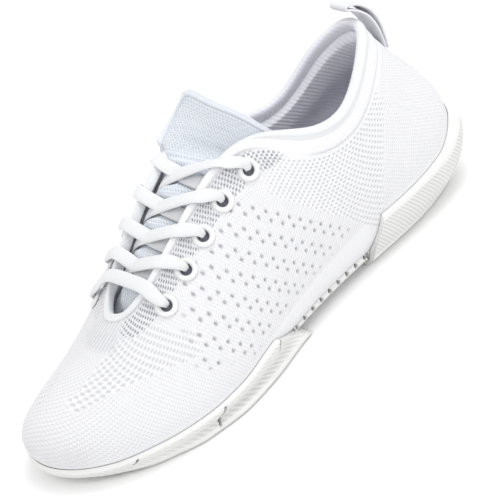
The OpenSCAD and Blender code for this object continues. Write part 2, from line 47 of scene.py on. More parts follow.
UP = np.array([
 [[0,119,8],[0,133.3,21],[0,133,42],[0,122.5,61],[0,110,78],[0,105.5,91]],
 [[13,114,7],[20,125.8,20],[19.5,125.4,42],[15.5,116.4,61],[12,106,78],[11,101.5,89.5]],
 [[22,97,6],[30.5,103.5,18],[30,102.5,38],[26.5,98,57],[22,92,73],[20,88.5,84]],
 [[25,72,6],[32,77,18],[32.5,77,36],[31.5,76,51],[29,75.5,66],[26.5,74,76]],
 [[25,48,7],[32,50,18],[34,52,34],[33.5,54,48],[31.5,57,61],[29.5,58,70]],
 [[27,22,7],[34,22,17],[36,24,33],[34.5,27,48],[31,31,63],[27.5,37,75]],
 [[31,-4,6],[38,-4,15],[39.5,-1,31],[37,3,49],[30,9,71],[20,18,93]],
 [[37,-26,5],[44,-26,13],[44,-23,28],[39,-18,46],[29,-9,69],[15.5,-2,88]],
 [[41,-46,5],[48,-46,12],[46.5,-44,26],[40,-38,43],[29,-30,62],[16,-22,78]],
 [[41,-66,5.5],[48,-66,12],[45,-64,24],[38,-58,40],[28,-50,54],[17.5,-42,68]],
 [[36,-86,6],[42,-88,12],[39,-86,24],[32,-78,37],[22.5,-67,48],[15,-59,57]],
 [[25,-106,6.5],[30,-109,12.5],[28,-106,25],[22,-95,35],[13,-78,45],[8,-64,52]],
 [[9,-117.5,6.5],[11,-122.5,12.5],[10,-119,26],[8,-106,35],[4,-85,43],[2,-66,51]],
 [[-8,-121,6.5],[-9,-126.5,12.5],[-8,-123,26],[-6,-110,34],[-4,-88,41.5],[-2,-65,51]],
 [[-22,-115,6.5],[-27,-119,12],[-23,-115,22],[-17,-102,31],[-11,-83,39.5],[-6,-62,51.5]],
 [[-31,-98,6.5],[-35.5,-100,12],[-32,-98,20],[-25,-89,29],[-17,-73,40.5],[-10,-56,55]],
 [[-36,-77,5.5],[-41,-77,12],[-38,-75,21],[-31,-69,33],[-22,-60,46],[-12,-44,65]],
 [[-38,-54,5],[-43,-54,12],[-40.5,-52,24],[-35,-47,39],[-25.5,-40,56],[-14.5,-27,76.5]],
 [[-35,-30,6],[-41,-30,14],[-39.5,-28,29],[-34.5,-24,46],[-28,-18,66],[-18,-8.5,86]],
 [[-29,-4,8],[-35,-4,17],[-35,-2,34],[-33,2,52],[-29,6.5,72],[-23,13,88.5]],
 [[-24,24,9],[-30.5,24,20],[-32.5,26,36],[-32,29,50],[-29.5,33,62],[-27,37,71]],
 [[-23,50,8],[-29.5,52,20],[-32,54,34],[-32,56,46],[-30.5,58,56],[-28.5,60,63.5]],
 [[-23,74,7],[-30,77,19],[-31.5,78,35],[-30,78,49],[-27.5,77,61],[-25.5,76,70]],
 [[-20,97,6.5],[-28,103.5,19],[-28,102.5,38],[-25,98,57],[-21,92,72.5],[-19,88.5,82]],
 [[-12,114,7],[-19,125.8,20],[-18.5,125.4,42],[-14.5,116.4,61],[-11.5,106,78],[-10.5,101.5,89]],
], float)
K, R = 25, 6
NET = np.concatenate([2*UP[:, :1]-UP[:, 1:2], UP, 2*UP[:, -1:]-UP[:, -2:-1]], 1)
TREAD = np.array([3,2,-0.5,-1.5,-1.5,0,4,5,5,3.5,1,-1.5,-1.5,-1,-1,0,2,3.5,3.5,2,0,-1,-1,0,2], float)
WALL = np.array([1.75,1.6,1.35,1.3,1.35,1.25,1.2,1.15,0.95,0.85,0.8,0.65,0.6,0.6,0.6,0.7,0.85,0.95,1.1,1.2,1.3,1.3,1.3,1.35,1.6])
TOP = np.array([[-2.5,0.5,86.5,14,0.15,0.15,0.34],[-3.5,1.5,90,16.5,0,0.06,0.34],[-5,2.8,93.5,20.5,-0.1,0.06,0.34],
                [-4.5,8,99.5,19.5,0,0.05,0.4],[-1,14,107,16,0.06,-0.08,0.55]])
EYE_L = [[6.24,4.52],[7.06,4.42],[7.78,4.32],[8.44,4.22],[9.16,4.06]]
EYE_M = [[18.7,4.5],[17.9,4.4],[17.2,4.3],[16.55,4.2],[15.85,4.06]]
KNIT, LIN, FOAM, CNT, BR = 1.6, 1.0, 3.6, 1.0, 2.6


def bw(t):
    return [(1-t)**3/6, (3*t**3-6*t*t+4)/6, (-3*t**3+3*t*t+3*t+1)/6, t**3/6]


def S(u, v):
    u, v = np.broadcast_arrays(np.asarray(u, float), np.asarray(v, float))
    iu = np.floor(u).astype(int); iv = np.clip(np.floor(v).astype(int), 0, R-2)
    a = bw(u-iu); b = bw(v-iv); out = 0
    for i in range(4):
        for j in range(4):
            out = out+(a[i]*b[j])[..., None]*NET[(iu-1+i) % K, iv-1+j+1]
    return out


def unit(p):
    return p/np.maximum(np.linalg.norm(p, axis=-1, keepdims=True), 1e-12)


def N(u, v, e=0.05):
    u, v = np.broadcast_arrays(np.asarray(u, float), np.asarray(v, float))
    du = S(u+e, v)-S(u-e, v); dv = S(u, np.minimum(v+e, 5))-S(u, np.maximum(v-e, 0))
    return unit(np.cross(dv, du))


def Q(u, v, d):
    return S(u, v)+np.asarray(d, float)[..., None]*N(u, v)


def Hn(u):
    n = N(u, 0.4+0*np.asarray(u, float)); n = n*np.array([1, 1, 0.0]); return unit(n)


def ss(a, b, x):
    t = np.clip((x-a)/(b-a), 0, 1); return t*t*(3-2*t)


def tab(T, u):
    i = np.floor(u).astype(int); f = u-i; s = f*f*(3-2*f)
    return T[i % K]*(1-s)+T[(i+1) % K]*s


def ud(u):
    m = np.mod(u, K); return np.minimum(m, K-m)


def foam_at(u, v): return FOAM*ss(6, 5, ud(u))*ss(2.8, 3.8, v)*(1-0.75*ss(4.6, 5, v))
def counter_at(u, v): return (CNT+0.35)*ss(3.5, 3, ud(u))*ss(2.8, 2.3, v)
def stay_at(u, v): return 1.05*ss(5.0, 5.5, ud(u))*ss(10.5, 10, ud(u))*ss(3.3, 3.8, v)
def puff_at(u, v): return 0.95*ss(9.5, 10, ud(u))*ss(2.8, 2.3, v)
def lin_out(u, v): return KNIT+0.3+foam_at(u, v)+counter_at(u, v)+stay_at(u, v)+puff_at(u, v)
def lin_in(u, v): return lin_out(u, v)+LIN


def ground(y):
    return np.where(y < -78, ((-78-y)/48)**2*4.6, 0)+np.where(y > 98, ((y-98)/30)**2*3.2, 0)


def noise(p, seed=0, scale=1.0):
    # smooth value noise from a few fixed waves
    r = np.random.RandomState(seed); out = 0
    for k in range(7):
        w = r.normal(size=3)*(0.6+0.35*k); ph = r.uniform(0, 6.28)
        out = out+np.sin(p@w*scale+ph)/(1+0.5*k)
    return out/3.0


# ---------------------------------------------------------------- mesh helpers
def grid_faces(n, m, wu, wv):
    i = np.arange(n if wu else n-1); j = np.arange(m if wv else m-1)
    I, J = np.meshgrid(i, j, indexing="ij")
    a = I*m+J; b = ((I+1) % n)*m+J; c = ((I+1) % n)*m+(J+1) % m; d = I*m+(J+1) % m
    return np.stack([a, b, c, d], -1).reshape(-1, 4)


def make(name, V, F, mat, body, uv=None, attrs=None, smooth=True, orient=True, extra=None):
    """V in mm before HOME; F quads; extra is a list of polygons with other side counts."""
    V = (np.asarray(V, float).reshape(-1, 3)+HOME)*0.001
    F = np.asarray(F, np.int64).reshape(-1, 4)
    ex = extra or []
    if orient:
        t = V[F]; c = V.mean(0)
        vol = np.einsum("ij,ij->i", t[:, 0]-c, np.cross(t[:, 1]-c, t[:, 2]-c)).sum()+np.einsum("ij,ij->i", t[:, 0]-c, np.cross(t[:, 2]-c, t[:, 3]-c)).sum()
        if vol < 0:
            F = F[:, ::-1]; ex = [list(reversed(e)) for e in ex]
    me = bpy.data.meshes.new(name)
    me.vertices.add(len(V)); me.vertices.foreach_set("co", V.ravel().astype(np.float32))
    nl = F.size+sum(len(e) for e in ex)
    idx = np.concatenate([F.ravel()]+[np.array(e) for e in ex]) if ex else F.ravel()
    me.loops.add(nl); me.loops.foreach_set("vertex_index", idx.astype(np.int32))
    st = list(range(0, F.size, 4)); k = F.size
    for e in ex:
        st.append(k); k += len(e)
    me.polygons.add(len(st)); me.polygons.foreach_set("loop_start", np.array(st, np.int32))
    if uv is not None:
        l = me.uv_layers.new(name="cloth"); l.data.foreach_set("uv", np.asarray(uv, float).reshape(-1, 2)[idx].ravel().astype(np.float32))
    for n, a in (attrs or {}).items():
        at = me.attributes.new(n, "FLOAT", "POINT"); at.data.foreach_set("value", np.asarray(a, float).ravel().astype(np.float32))
    me.update(calc_edges=True); me.validate()
    me.polygons.foreach_set("use_smooth", np.full(len(me.polygons), smooth))
    o = bpy.data.objects.new(name, me); bpy.context.scene.collection.objects.link(o)
    me.materials.append(mat)
    if body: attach(o, body)
    return o


def arclen(P):
    d = np.linalg.norm(np.diff(P, axis=0), axis=-1); return np.concatenate([[0], np.cumsum(d)])


def even_u(step, v=1.4, closed=True):
    """Stations spaced evenly round the shoe, with the distance of each from the heel."""
    f = np.linspace(0, K, 2001); s = arclen(S(f, np.full_like(f, v))); n = int(s[-1]/step)
    if n % 2: n += 1
    st = np.arange(n)*s[-1]/n; return np.interp(st, s, f), st, s[-1]


def staggered(a, b, pa, pb, ra, rb):
    j = np.round(b/pb); off = np.mod(j, 2)*0.5*pa; da = a-off; da = da-np.round(da/pa)*pa; db = b-j*pb
    d = np.sqrt((da/ra)**2+(db/rb)**2); return ss(1.35, 0.7, d)


def catmull(P, n_per):
    P = np.asarray(P, float); out = []
    m = len(P)
    for i in range(m-1):
        p0 = P[max(i-1, 0)]; p1 = P[i]; p2 = P[i+1]; p3 = P[min(i+2, m-1)]
        t = np.arange(n_per)/n_per
        t = t.reshape((-1,)+(1,)*(P.ndim-1))
        out.append(0.5*((2*p1)+(-p0+p2)*t+(2*p0-5*p1+4*p2-p3)*t*t+(-p0+3*p1-3*p2+p3)*t**3))
    out.append(P[-1:]); return np.concatenate(out, 0)


# ---------------------------------------------------------------- camera, first
AZ, EL, ROLL = math.radians(61.74), math.radians(32.01), math.radians(-23.09)
back = np.array([math.sin(AZ)*math.cos(EL), -math.cos(AZ)*math.cos(EL), math.sin(EL)])
rt = np.cross(-back, [0, 0, 1.0]); rt /= np.linalg.norm(rt); upv = np.cross(rt, -back)
cR = math.cos(ROLL)*rt+math.sin(ROLL)*upv; cU = -math.sin(ROLL)*rt+math.cos(ROLL)*upv
CAM = np.array([0, 0, 45.0])+10.47*cR-6.49*cU+699.52*back
cam = bpy.data.cameras.new("camera"); cam_o = bpy.data.objects.new("camera", cam)
bpy.context.scene.collection.objects.link(cam_o); bpy.context.scene.camera = cam_o
M = Matrix.Identity(4)
loc = (CAM+HOME)*0.001
for r in range(3):
    M[r][0] = cR[r]; M[r][1] = cU[r]; M[r][2] = back[r]; M[r][3] = loc[r]
cam_o.matrix_world = M
cam.sensor_width = 36.0; cam.lens = 1590.18/500*36.0; cam.clip_start = 0.01; cam.clip_end = 20.0


def plane_xy(P):
    """Pattern coordinates: points as the camera sees them, in perspective, in units of about 0.44 mm at the shoe."""
    q = P-np.array([0, 0, 45.0]); x = q@cR-10.47; y = q@cU+6.49; z = 699.52-q@back
    return 250+1590.18*x/z, 250-1590.18*y/z


# ---------------------------------------------------------------- materials
def nodes_of(name, rough, spec=0.35, sheen=0.0, sheen_rough=0.5):
    m = bpy.data.materials.new(name); m.use_nodes = True; nt = m.node_tree; b = nt.nodes["Principled BSDF"]
    b.inputs["Roughness"].default_value = rough; b.inputs["Specular IOR Level"].default_value = spec
    b.inputs["Sheen Weight"].default_value = sheen; b.inputs["Sheen Roughness"].default_value = sheen_rough
    return m, nt, b


def nd(nt, typ, **kw):
    n = nt.nodes.new(typ)
    for k, v in kw.items():
        if k.startswith("i_"): n.inputs[k[2:].replace("_", " ")].default_value = v
        else: setattr(n, k, v)
    return n


def coords(nt, kind, scale):
    tc = nd(nt, "ShaderNodeTexCoord") if kind != "uv" else nd(nt, "ShaderNodeUVMap", uv_map="cloth")
    mp = nd(nt, "ShaderNodeMapping"); mp.inputs["Scale"].default_value = scale
    nt.links.new(tc.outputs["UV" if kind == "uv" else "Object"], mp.inputs["Vector"]); return mp.outputs["Vector"]


def ramp(nt, fac, stops):
    r = nd(nt, "ShaderNodeValToRGB"); e = r.color_ramp.elements
    e[0].position = stops[0][0]; e[0].color = (*stops[0][1], 1); e[1].position = stops[-1][0]; e[1].color = (*stops[-1][1], 1)
    for p, c in stops[1:-1]:
        q = e.new(p); q.color = (*c, 1)
    nt.links.new(fac, r.inputs["Fac"]); return r.outputs["Color"]


def mixc(nt, fac, a, b, mode="MIX"):
    n = nd(nt, "ShaderNodeMix", data_type="RGBA", blend_type=mode)
    for s, v in ((n.inputs[0], fac), (n.inputs[6], a), (n.inputs[7], b)):
        if isinstance(v, (int, float)): s.default_value = v
        elif isinstance(v, tuple): s.default_value = (*v, 1)
        else: nt.links.new(v, s)
    return n.outputs[2]


def math_(nt, op, a, b=0.0):
    n = nd(nt, "ShaderNodeMath", operation=op)
    for s, v in ((n.inputs[0], a), (n.inputs[1], b)):
        if isinstance(v, (int, float)): s.default_value = v
        else: nt.links.new(v, s)
    return n.outputs[0]


def bump(nt, b, h, strength, dist):
    n = nd(nt, "ShaderNodeBump"); n.inputs["Strength"].default_value = strength; n.inputs["Distance"].default_value = dist
    nt.links.new(h, n.inputs["Height"]); nt.links.new(n.outputs["Normal"], b.inputs["Normal"])


def cloth_mat(name, base, shade, hollow_shade, wale=1.2, course=0.95, depth=0.00028, sheen=0.12, rough=0.82, stitch_shade=0.55):
    """A knit: columns of stitches with painted shade between them, darker still where the painted-shade attribute is
    high: painted shade in holes, dimples, grooves and creases. The shade colour also gives a random mottle.
    """
    m, nt, b = nodes_of(name, rough, 0.25, sheen, 0.5)
    uv = coords(nt, "uv", (1, 1, 1))
    sep = nd(nt, "ShaderNodeSeparateXYZ"); nt.links.new(uv, sep.inputs[0])
    # stitch columns with a slanted leg on each side
    ph = math_(nt, "MULTIPLY", sep.outputs[0], 2*math.pi/wale)
    cs = math_(nt, "ABSOLUTE", math_(nt, "SINE", math_(nt, "MULTIPLY", ph, 0.5)))
    zig = math_(nt, "MULTIPLY", cs, 0.9)
    rw = math_(nt, "SINE", math_(nt, "MULTIPLY", math_(nt, "ADD", sep.outputs[1], math_(nt, "MULTIPLY", zig, course)), 2*math.pi/course))
    rows = math_(nt, "MULTIPLY", math_(nt, "ADD", rw, 1.0), 0.5)
    h = math_(nt, "ADD", math_(nt, "MULTIPLY", cs, 0.6), math_(nt, "MULTIPLY", rows, 0.4))
    ob = coords(nt, "object", (1, 1, 1))
    n1 = nd(nt, "ShaderNodeTexNoise", i_Scale=55.0, i_Detail=4.0, i_Roughness=0.55); nt.links.new(ob, n1.inputs["Vector"])
    n2 = nd(nt, "ShaderNodeTexNoise", i_Scale=2600.0, i_Detail=3.0); nt.links.new(ob, n2.inputs["Vector"])
    # painted shade: the valleys between columns of stitches are mixed towards the shade colour
    col = mixc(nt, math_(nt, "MULTIPLY", math_(nt, "SUBTRACT", 1.0, h), stitch_shade), base, shade)
    col = mixc(nt, math_(nt, "MULTIPLY", n1.outputs["Fac"], 0.16), col, shade)
    # painted shade: holes, dimples, grooves and creases are mixed towards the dark colour
    at = nd(nt, "ShaderNodeAttribute", attribute_name="hollow_shade", attribute_type="GEOMETRY")
    col = mixc(nt, at.outputs["Fac"], col, hollow_shade)
    nt.links.new(col, b.inputs["Base Color"])
    hh = math_(nt, "ADD", h, math_(nt, "MULTIPLY", n2.outputs["Fac"], 0.5))
    bump(nt, b, hh, 0.55, depth); return m


# For each cloth the second colour is painted shade between stitches (and a random mottle), the third is painted shade
# in holes, grooves and creases.
W = (0.865, 0.865, 0.88); WS = (0.68, 0.68, 0.72)
M_KNIT = cloth_mat("knit_white", W, WS, (0.16, 0.16, 0.20))
M_RIM = cloth_mat("knit_rim", (0.80, 0.815, 0.83), (0.68, 0.70, 0.73), (0.3, 0.3, 0.34), wale=1.1, course=0.8)
M_LIN = cloth_mat("lining_rib", (0.93, 0.93, 0.975), (0.86, 0.86, 0.93), (0.52, 0.52, 0.66), wale=0.8, course=0.6, sheen=0.1)
M_TON = cloth_mat("tongue_mesh", (0.79, 0.82, 0.865), (0.60, 0.64, 0.71), (0.30, 0.34, 0.40), wale=1.0, course=0.8)
M_TAPE = cloth_mat("webbing_tape", (0.80, 0.80, 0.83), (0.66, 0.66, 0.71), (0.4, 0.4, 0.45), wale=0.7, course=0.9, depth=0.0002)
M_INS = cloth_mat("insole_cloth", (0.66, 0.66, 0.72), (0.52, 0.52, 0.58), (0.3, 0.3, 0.34), wale=0.9, course=0.9)


def rubber_mat(name, base, dark):
    m, nt, b = nodes_of(name, 0.52, 0.4)
    ob = coords(nt, "object", (1, 1, 1))
    n1 = nd(nt, "ShaderNodeTexNoise", i_Scale=38.0, i_Detail=5.0, i_Roughness=0.6); nt.links.new(ob, n1.inputs["Vector"])
    n2 = nd(nt, "ShaderNodeTexNoise", i_Scale=1800.0, i_Detail=2.0); nt.links.new(ob, n2.inputs["Vector"])
    at = nd(nt, "ShaderNodeAttribute", attribute_name="hollow_shade", attribute_type="GEOMETRY")
    col = mixc(nt, math_(nt, "MULTIPLY", n1.outputs["Fac"], 0.22), base, dark)
    # painted shade: grooves, slits and dents are mixed towards near black
    col = mixc(nt, at.outputs["Fac"], col, (0.10, 0.10, 0.11))
    nt.links.new(col, b.inputs["Base Color"])
    r = nd(nt, "ShaderNodeMapRange"); r.inputs["To Min"].default_value = 0.42; r.inputs["To Max"].default_value = 0.84
    nt.links.new(n1.outputs["Fac"], r.inputs["Value"]); nt.links.new(r.outputs["Result"], b.inputs["Roughness"])
    bump(nt, b, n2.outputs["Fac"], 0.25, 0.00006); return m


M_RUB = rubber_mat("sole_rubber", (0.79, 0.79, 0.775), (0.70, 0.70, 0.685))
M_STRIP = rubber_mat("arch_moulding", (0.80, 0.80, 0.79), (0.70, 0.70, 0.69))
M_EVA = rubber_mat("midsole_foam", (0.82, 0.82, 0.81), (0.74, 0.74, 0.73))
M_EYE = rubber_mat("eyelet_plastic", (0.80, 0.80, 0.805), (0.72, 0.72, 0.73))
M_STIFF = rubber_mat("stiffener", (0.75, 0.75, 0.74), (0.66, 0.66, 0.65))


def lace_mat():
    m, nt, b = nodes_of("lace_braid", 0.8, 0.25, 0.15, 0.5)
    uv = coords(nt, "uv", (1, 1, 1)); sep = nd(nt, "ShaderNodeSeparateXYZ"); nt.links.new(uv, sep.inputs[0])
    ax = math_(nt, "ABSOLUTE", sep.outputs[1])
    w1 = math_(nt, "SINE", math_(nt, "MULTIPLY", math_(nt, "ADD", sep.outputs[0], ax), 2*math.pi/0.95))
    h = math_(nt, "MULTIPLY", math_(nt, "ADD", w1, 1.0), 0.5)
    ob = coords(nt, "object", (1, 1, 1))
    n1 = nd(nt, "ShaderNodeTexNoise", i_Scale=60.0, i_Detail=3.0); nt.links.new(ob, n1.inputs["Vector"])
    # painted shade in the valleys of the braid; the next mix is a random mottle
    col = mixc(nt, math_(nt, "MULTIPLY", math_(nt, "SUBTRACT", 1.0, h), 0.28), (0.78, 0.785, 0.80), (0.60, 0.61, 0.64))
    col = mixc(nt, math_(nt, "MULTIPLY", n1.outputs["Fac"], 0.15), col, (0.68, 0.69, 0.72))
    nt.links.new(col, b.inputs["Base Color"]); bump(nt, b, h, 0.5, 0.00014); return m


M_LACE = lace_mat()


def thread_mat():
    m, nt, b = nodes_of("thread", 0.7, 0.3, 0.1)
    ob = coords(nt, "object", (1, 1, 1)); n1 = nd(nt, "ShaderNodeTexNoise", i_Scale=900.0, i_Detail=2.0); nt.links.new(ob, n1.inputs["Vector"])
    col = mixc(nt, n1.outputs["Fac"], (0.80, 0.80, 0.81), (0.66, 0.66, 0.68)); nt.links.new(col, b.inputs["Base Color"])
    bump(nt, b, n1.outputs["Fac"], 0.4, 0.0001); return m


M_THR = thread_mat()


# ---------------------------------------------------------------- knitted upper
def build_upper():
    step = 0.46
    us, s, L = even_u(step); n = len(us)
    rows = 200
    v = np.linspace(0, 4.985, rows)
    U, V = np.meshgrid(us, v, indexing="ij")
    P = S(U, V); Nn = N(U, V)
    ul = ud(U)
    Pl = S(ul, V)                      # the same place on the outer side, so both sides carry one pattern
    X, Y = plane_xy(Pl)
    # distances along the throat edge and down from it
    f = np.linspace(0, K, 1601); se = arclen(S(f, np.full_like(f, 4.6)))
    sE = np.interp(ul, f, se)
    fv = np.linspace(0, 5, 61); PP = S(np.repeat(us[:, None], 61, 1), np.repeat(fv[None], n, 0))
    dv = np.concatenate([np.zeros((n, 1)), np.cumsum(np.linalg.norm(np.diff(PP, axis=1), axis=-1), 1)], 1)
    down = np.empty_like(U)
    for i in range(n):
        down[i] = dv[i, -1]-np.interp(v, fv, dv[i])
    height = dv[:, -1:]-down
    wtop = tab(WALL, U); hw = np.empty_like(U)
    for i in range(n):
        hw[i] = np.interp(tab(WALL, np.array([us[i]]))[0], fv, dv[i])
    above = height-hw                  # distance above the rubber's top edge
    hollow_shade = np.zeros_like(U); disp = np.zeros_like(U)

    # each pattern is pressed in by depth and painted darker by dark: painted shade inside the dimples
    def add(mask, zone, depth, dark):
        nonlocal hollow_shade, disp
        m = mask*zone; hollow_shade = np.maximum(hollow_shade, m*dark); disp = disp-m*depth

    edge = np.where(ul < 6, ss(4.5, 6, ul)*4.0+7.0*ss(6, 4.5, ul), 3.6)
    # a: eyelet field, crisp dots with painted shade
    zone_eye = ss(edge+0.3, edge+1.2, down)*ss(5.25, 5.6, ul)*ss(11.1, 10.6, ul)
    lim = np.interp(ul, [5.2, 5.8, 6.5, 7.5, 8.5, 9.5, 10.3, 11.0], [5, 13, 17, 17, 16, 16, 14, 9])
    z1 = zone_eye*ss(lim+1.0, lim-0.5, down)
    for (eu, ev) in EYE_L:
        pe = S(np.array(eu), np.array(ev)); dd = np.linalg.norm(Pl-pe, axis=-1); z1 = z1*ss(5.0, 5.6, dd)
    add(staggered(sE, down, 2.3, 1.4, 0.62, 0.48), z1, 0.5, 0.80)
    # b: paired rows of larger openings across the waist, pressed in with painted shade inside
    a = (Pl[..., 1]-Pl[..., 2])*0.7071; b = (Pl[..., 1]+Pl[..., 2])*0.7071
    bb = np.mod(b-52.0, 9.2); pair = np.floor((b-52.0)/9.2)
    da = a+pair*3.1
    def hrow(c, sh):
        x = da-sh; x = x-np.round(x/5.9)*5.9; y = bb-c
        return ss(1.3, 0.5, np.sqrt((x/0.95)**2+((y+0.25*x)/0.72)**2))
    pat = np.maximum(hrow(2.6, 0.0), hrow(5.8, 2.95))
    line_lo = ss(3.0, 6.0, above)
    zb = ss(lim+1.5, lim+3.0, down)*ss(3.25, 3.7, ul)*ss(9.1, 8.6, ul)*line_lo
    zb = zb*ss(0, 4, (Y-(0.30*(X-262)+196)))*ss(0, 8, (392-0.30*(X-150))-Y+8*0)
    fade = 1-0.45*ss(320, 372, X)
    add(pat, zb*fade, 0.85, 0.52)
    # c: soft dots below the collar, with lighter painted shade
    zc = ss(7.2, 8.4, down)*ss(387, 382, X)*ss(2.2, 2.6, ul)*ss(6.3, 5.7, ul)*ss(0, -5, (Y-(0.30*(X-262)+196)))
    zc = np.maximum(zc, ss(7.2, 8.4, down)*ss(387, 382, X)*ss(2.2, 2.6, ul)*ss(4.4, 4.0, ul)*ss(12, 14, above)*ss(0, -5, (Y-(0.30*(X-262)+196))))
    add(staggered(sE, down, 2.5, 1.5, 0.55, 0.42), zc, 0.40, 0.34)
    # d: band of soft dots sweeping from the lowest eyelet to the toe, with painted shade
    band_lo = np.interp(X, [55, 75, 115, 165, 205, 250, 275], [408, 415, 394, 372, 356, 350, 338])
    band_hi = np.interp(X, [55, 75, 100, 122, 140, 165, 200, 250], [402, 396, 362, 335, 322, 330, 330, 326])
    zd = ss(0, 3, band_lo-Y)*ss(-2, 2, Y-band_hi)*ss(62, 70, X)*ss(1.5, 4, above)
    zd = zd*(1-zb*0.0)*ss(8.4, 8.8, ul)
    zd2 = ss(0, 3, band_lo-Y)*ss(-2, 3, Y-np.interp(X, [150, 200, 250], [318, 334, 328]))*ss(7.2, 7.6, ul)*ss(9.1, 8.7, ul)*ss(1.5, 4, above)
    pb = staggered(sE*1.0, down, 2.7, 1.75, 0.74, 0.66)
    add(pb, zd*(1-z1)*ss(edge+0.5, edge+1.5, down), 0.42, 0.27)
    # e: ribs in front of the throat and fine ribs along the toe's edge, with painted shade in their valleys
    rib = 0.5+0.5*np.cos(P[..., 0]*2*np.pi/1.9)
    ze = ss(edge-0.2, edge+0.6, down)*ss(20, 16, down)*ss(10.7, 11.1, ul)
    disp = disp-0.34*(1-rib)*ze; hollow_shade = np.maximum(hollow_shade, 0.32*(1-rib)*ze)
    rib2 = 0.5+0.5*np.cos(np.interp(ul, f, arclen(S(f, np.full_like(f, 1.6))))*2*np.pi/1.5)
    zt = ss(0.5, 1.5, above)*ss(13, 8, above)*ss(11.0, 11.5, ul)
    disp = disp-0.22*(1-rib2)*zt; hollow_shade = np.maximum(hollow_shade, 0.16*(1-rib2)*zt)
    # a fine grain of dimples with light painted shade
    gr = staggered(sE, down, 1.45, 1.05, 0.5, 0.36)*ss(8, 10, down)*ss(1.0, 3.0, above)*(1-np.clip(z1+zc+zd, 0, 1))
    disp = disp-0.10*gr; hollow_shade = np.maximum(hollow_shade, 0.20*gr)
    # painted shade on the knit showing through each eyelet's bore
    for (eu, ev) in EYE_L+EYE_M:
        pe = S(np.array(eu), np.array(ev)); dd = np.linalg.norm(P-pe, axis=-1); w_ = ss(3.1, 2.5, dd)
        disp = disp*(1-w_)-1.25*w_; hollow_shade = np.maximum(hollow_shade, w_)
    # f: stitched line under the collar and the creased edge of the throat's fold, with painted shade in the stitched
    # groove and the crease
    cl = np.exp(-((down-6.6)/0.45)**2)*ss(5.2, 4.6, ul); disp = disp-0.5*cl; hollow_shade = np.maximum(hollow_shade, 0.18*cl)
    puff = np.exp(-((down-3.6)/2.4)**2)*ss(5.6, 4.6, ul); disp = disp+0.25*puff
    far_ = ss(3.0, 3.6, np.min([np.linalg.norm(P-S(np.array(a), np.array(b)), axis=-1) for a, b in EYE_L+EYE_M], 0)); fold = far_*ss(edge, edge-0.35, down)*ss(5.4, 6.4, ul)*(1-0.55*ss(10.3, 11.2, ul)); disp = disp+0.75*fold
    cr = np.exp(-((down-edge)/0.32)**2)*ss(5.4, 6.2, ul); hollow_shade = np.maximum(hollow_shade, 0.34*cr)
    # g: gentle waves of a worn-soft cloth, heel cup's edge, and the crease over the rubber
    disp = disp+0.22*noise(P*0.05, 3)*ss(0, 6, above)
    hc = np.exp(-((X-384)/2.2)**2)*ss(4.6, 4.0, ul)*ss(3, 8, above)*ss(6, 9, down); disp = disp-0.22*hc
    swell = ss(3.2, 2.7, ul)*ss(4, 12, above)*ss(6, 14, down); disp = disp+0.35*swell
    outer = P+disp[..., None]*Nn
    # rolled top edge, then the inner face
    th = np.linspace(0, np.pi, 6)[1:-1]
    Pe = S(us, np.full(n, 4.985)); Ne = N(us, np.full(n, 4.985)); De = unit(S(us, np.full(n, 5.0))-S(us, np.full(n, 4.9)))
    dl = disp[:, -1]; r = (1.45+dl)/2; cen = Pe+Ne*((dl-1.45)/2)[:, None]
    lip = np.stack([cen+Ne*(np.cos(t)*r)[:, None]+De*(np.sin(t)*0.8) for t in th], 1)
    vi = np.linspace(4.985, 0, 26); Ui, Vi = np.meshgrid(us, vi, indexing="ij")
    inner = Q(Ui, Vi, np.full_like(Ui, -1.45))
    A = np.concatenate([outer, lip, inner], 1); m = A.shape[1]
    H = np.concatenate([hollow_shade, np.zeros((n, m-rows))], 1)
    uvx = np.concatenate([np.repeat(s[:, None], rows, 1), np.repeat(s[:, None], m-rows, 1)], 1)
    uvy = np.concatenate([height, np.zeros((n, m-rows))+height[:, -1:]], 1)
    o = make("upper_knit", A, grid_faces(n, m, True, True), M_KNIT, None, np.stack([uvx, uvy], -1), {"hollow_shade": H})
    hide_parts("upper_toe", "upper_vamp", "upper_quarters")
    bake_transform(o)
    return o


def build_lining():
    us, s, L = even_u(0.5); n = len(us)
    v = np.linspace(0.05, 4.93, 190)
    U, V = np.meshgrid(us, v, indexing="ij")
    P = S(U, V); ul = ud(U)
    sgn = np.where(np.mod(U, K) < K/2, 1.0, -1.0)
    # slanting ribs, with painted shade in the valleys between them
    a = (P[..., 1]*0.62+P[..., 2]*0.785)
    rib = 0.5+0.5*np.cos(a*2*np.pi/1.8)
    d = lin_in(U, V)+0.32*(1-rib)*0-0.30*rib*ss(8.5, 7.5, ul)
    inner = Q(U, V, -(d-0.05)); H = (1-rib)*0.26*ss(8.5, 7.5, ul)*ss(4.75, 4.4, V+0.5*ss(5.4, 6.2, ul))
    vo = np.linspace(4.93, 0.05, 24); Uo, Vo = np.meshgrid(us, vo, indexing="ij")
    outer = Q(Uo, Vo, -(lin_out(Uo, Vo)+0.1))
    A = np.concatenate([inner, outer], 1); m = A.shape[1]
    H = np.concatenate([H, np.zeros((n, 24))], 1)
    uvx = np.repeat(s[:, None], m, 1); uvy = np.concatenate([P[..., 2], np.zeros((n, 24))], 1)
    o = make("lining_cloth", A, grid_faces(n, m, True, True), M_LIN, None, np.stack([uvx, uvy], -1), {"hollow_shade": H})
    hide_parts("lining_toe", "lining_vamp", "lining_quarters")
    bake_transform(o)


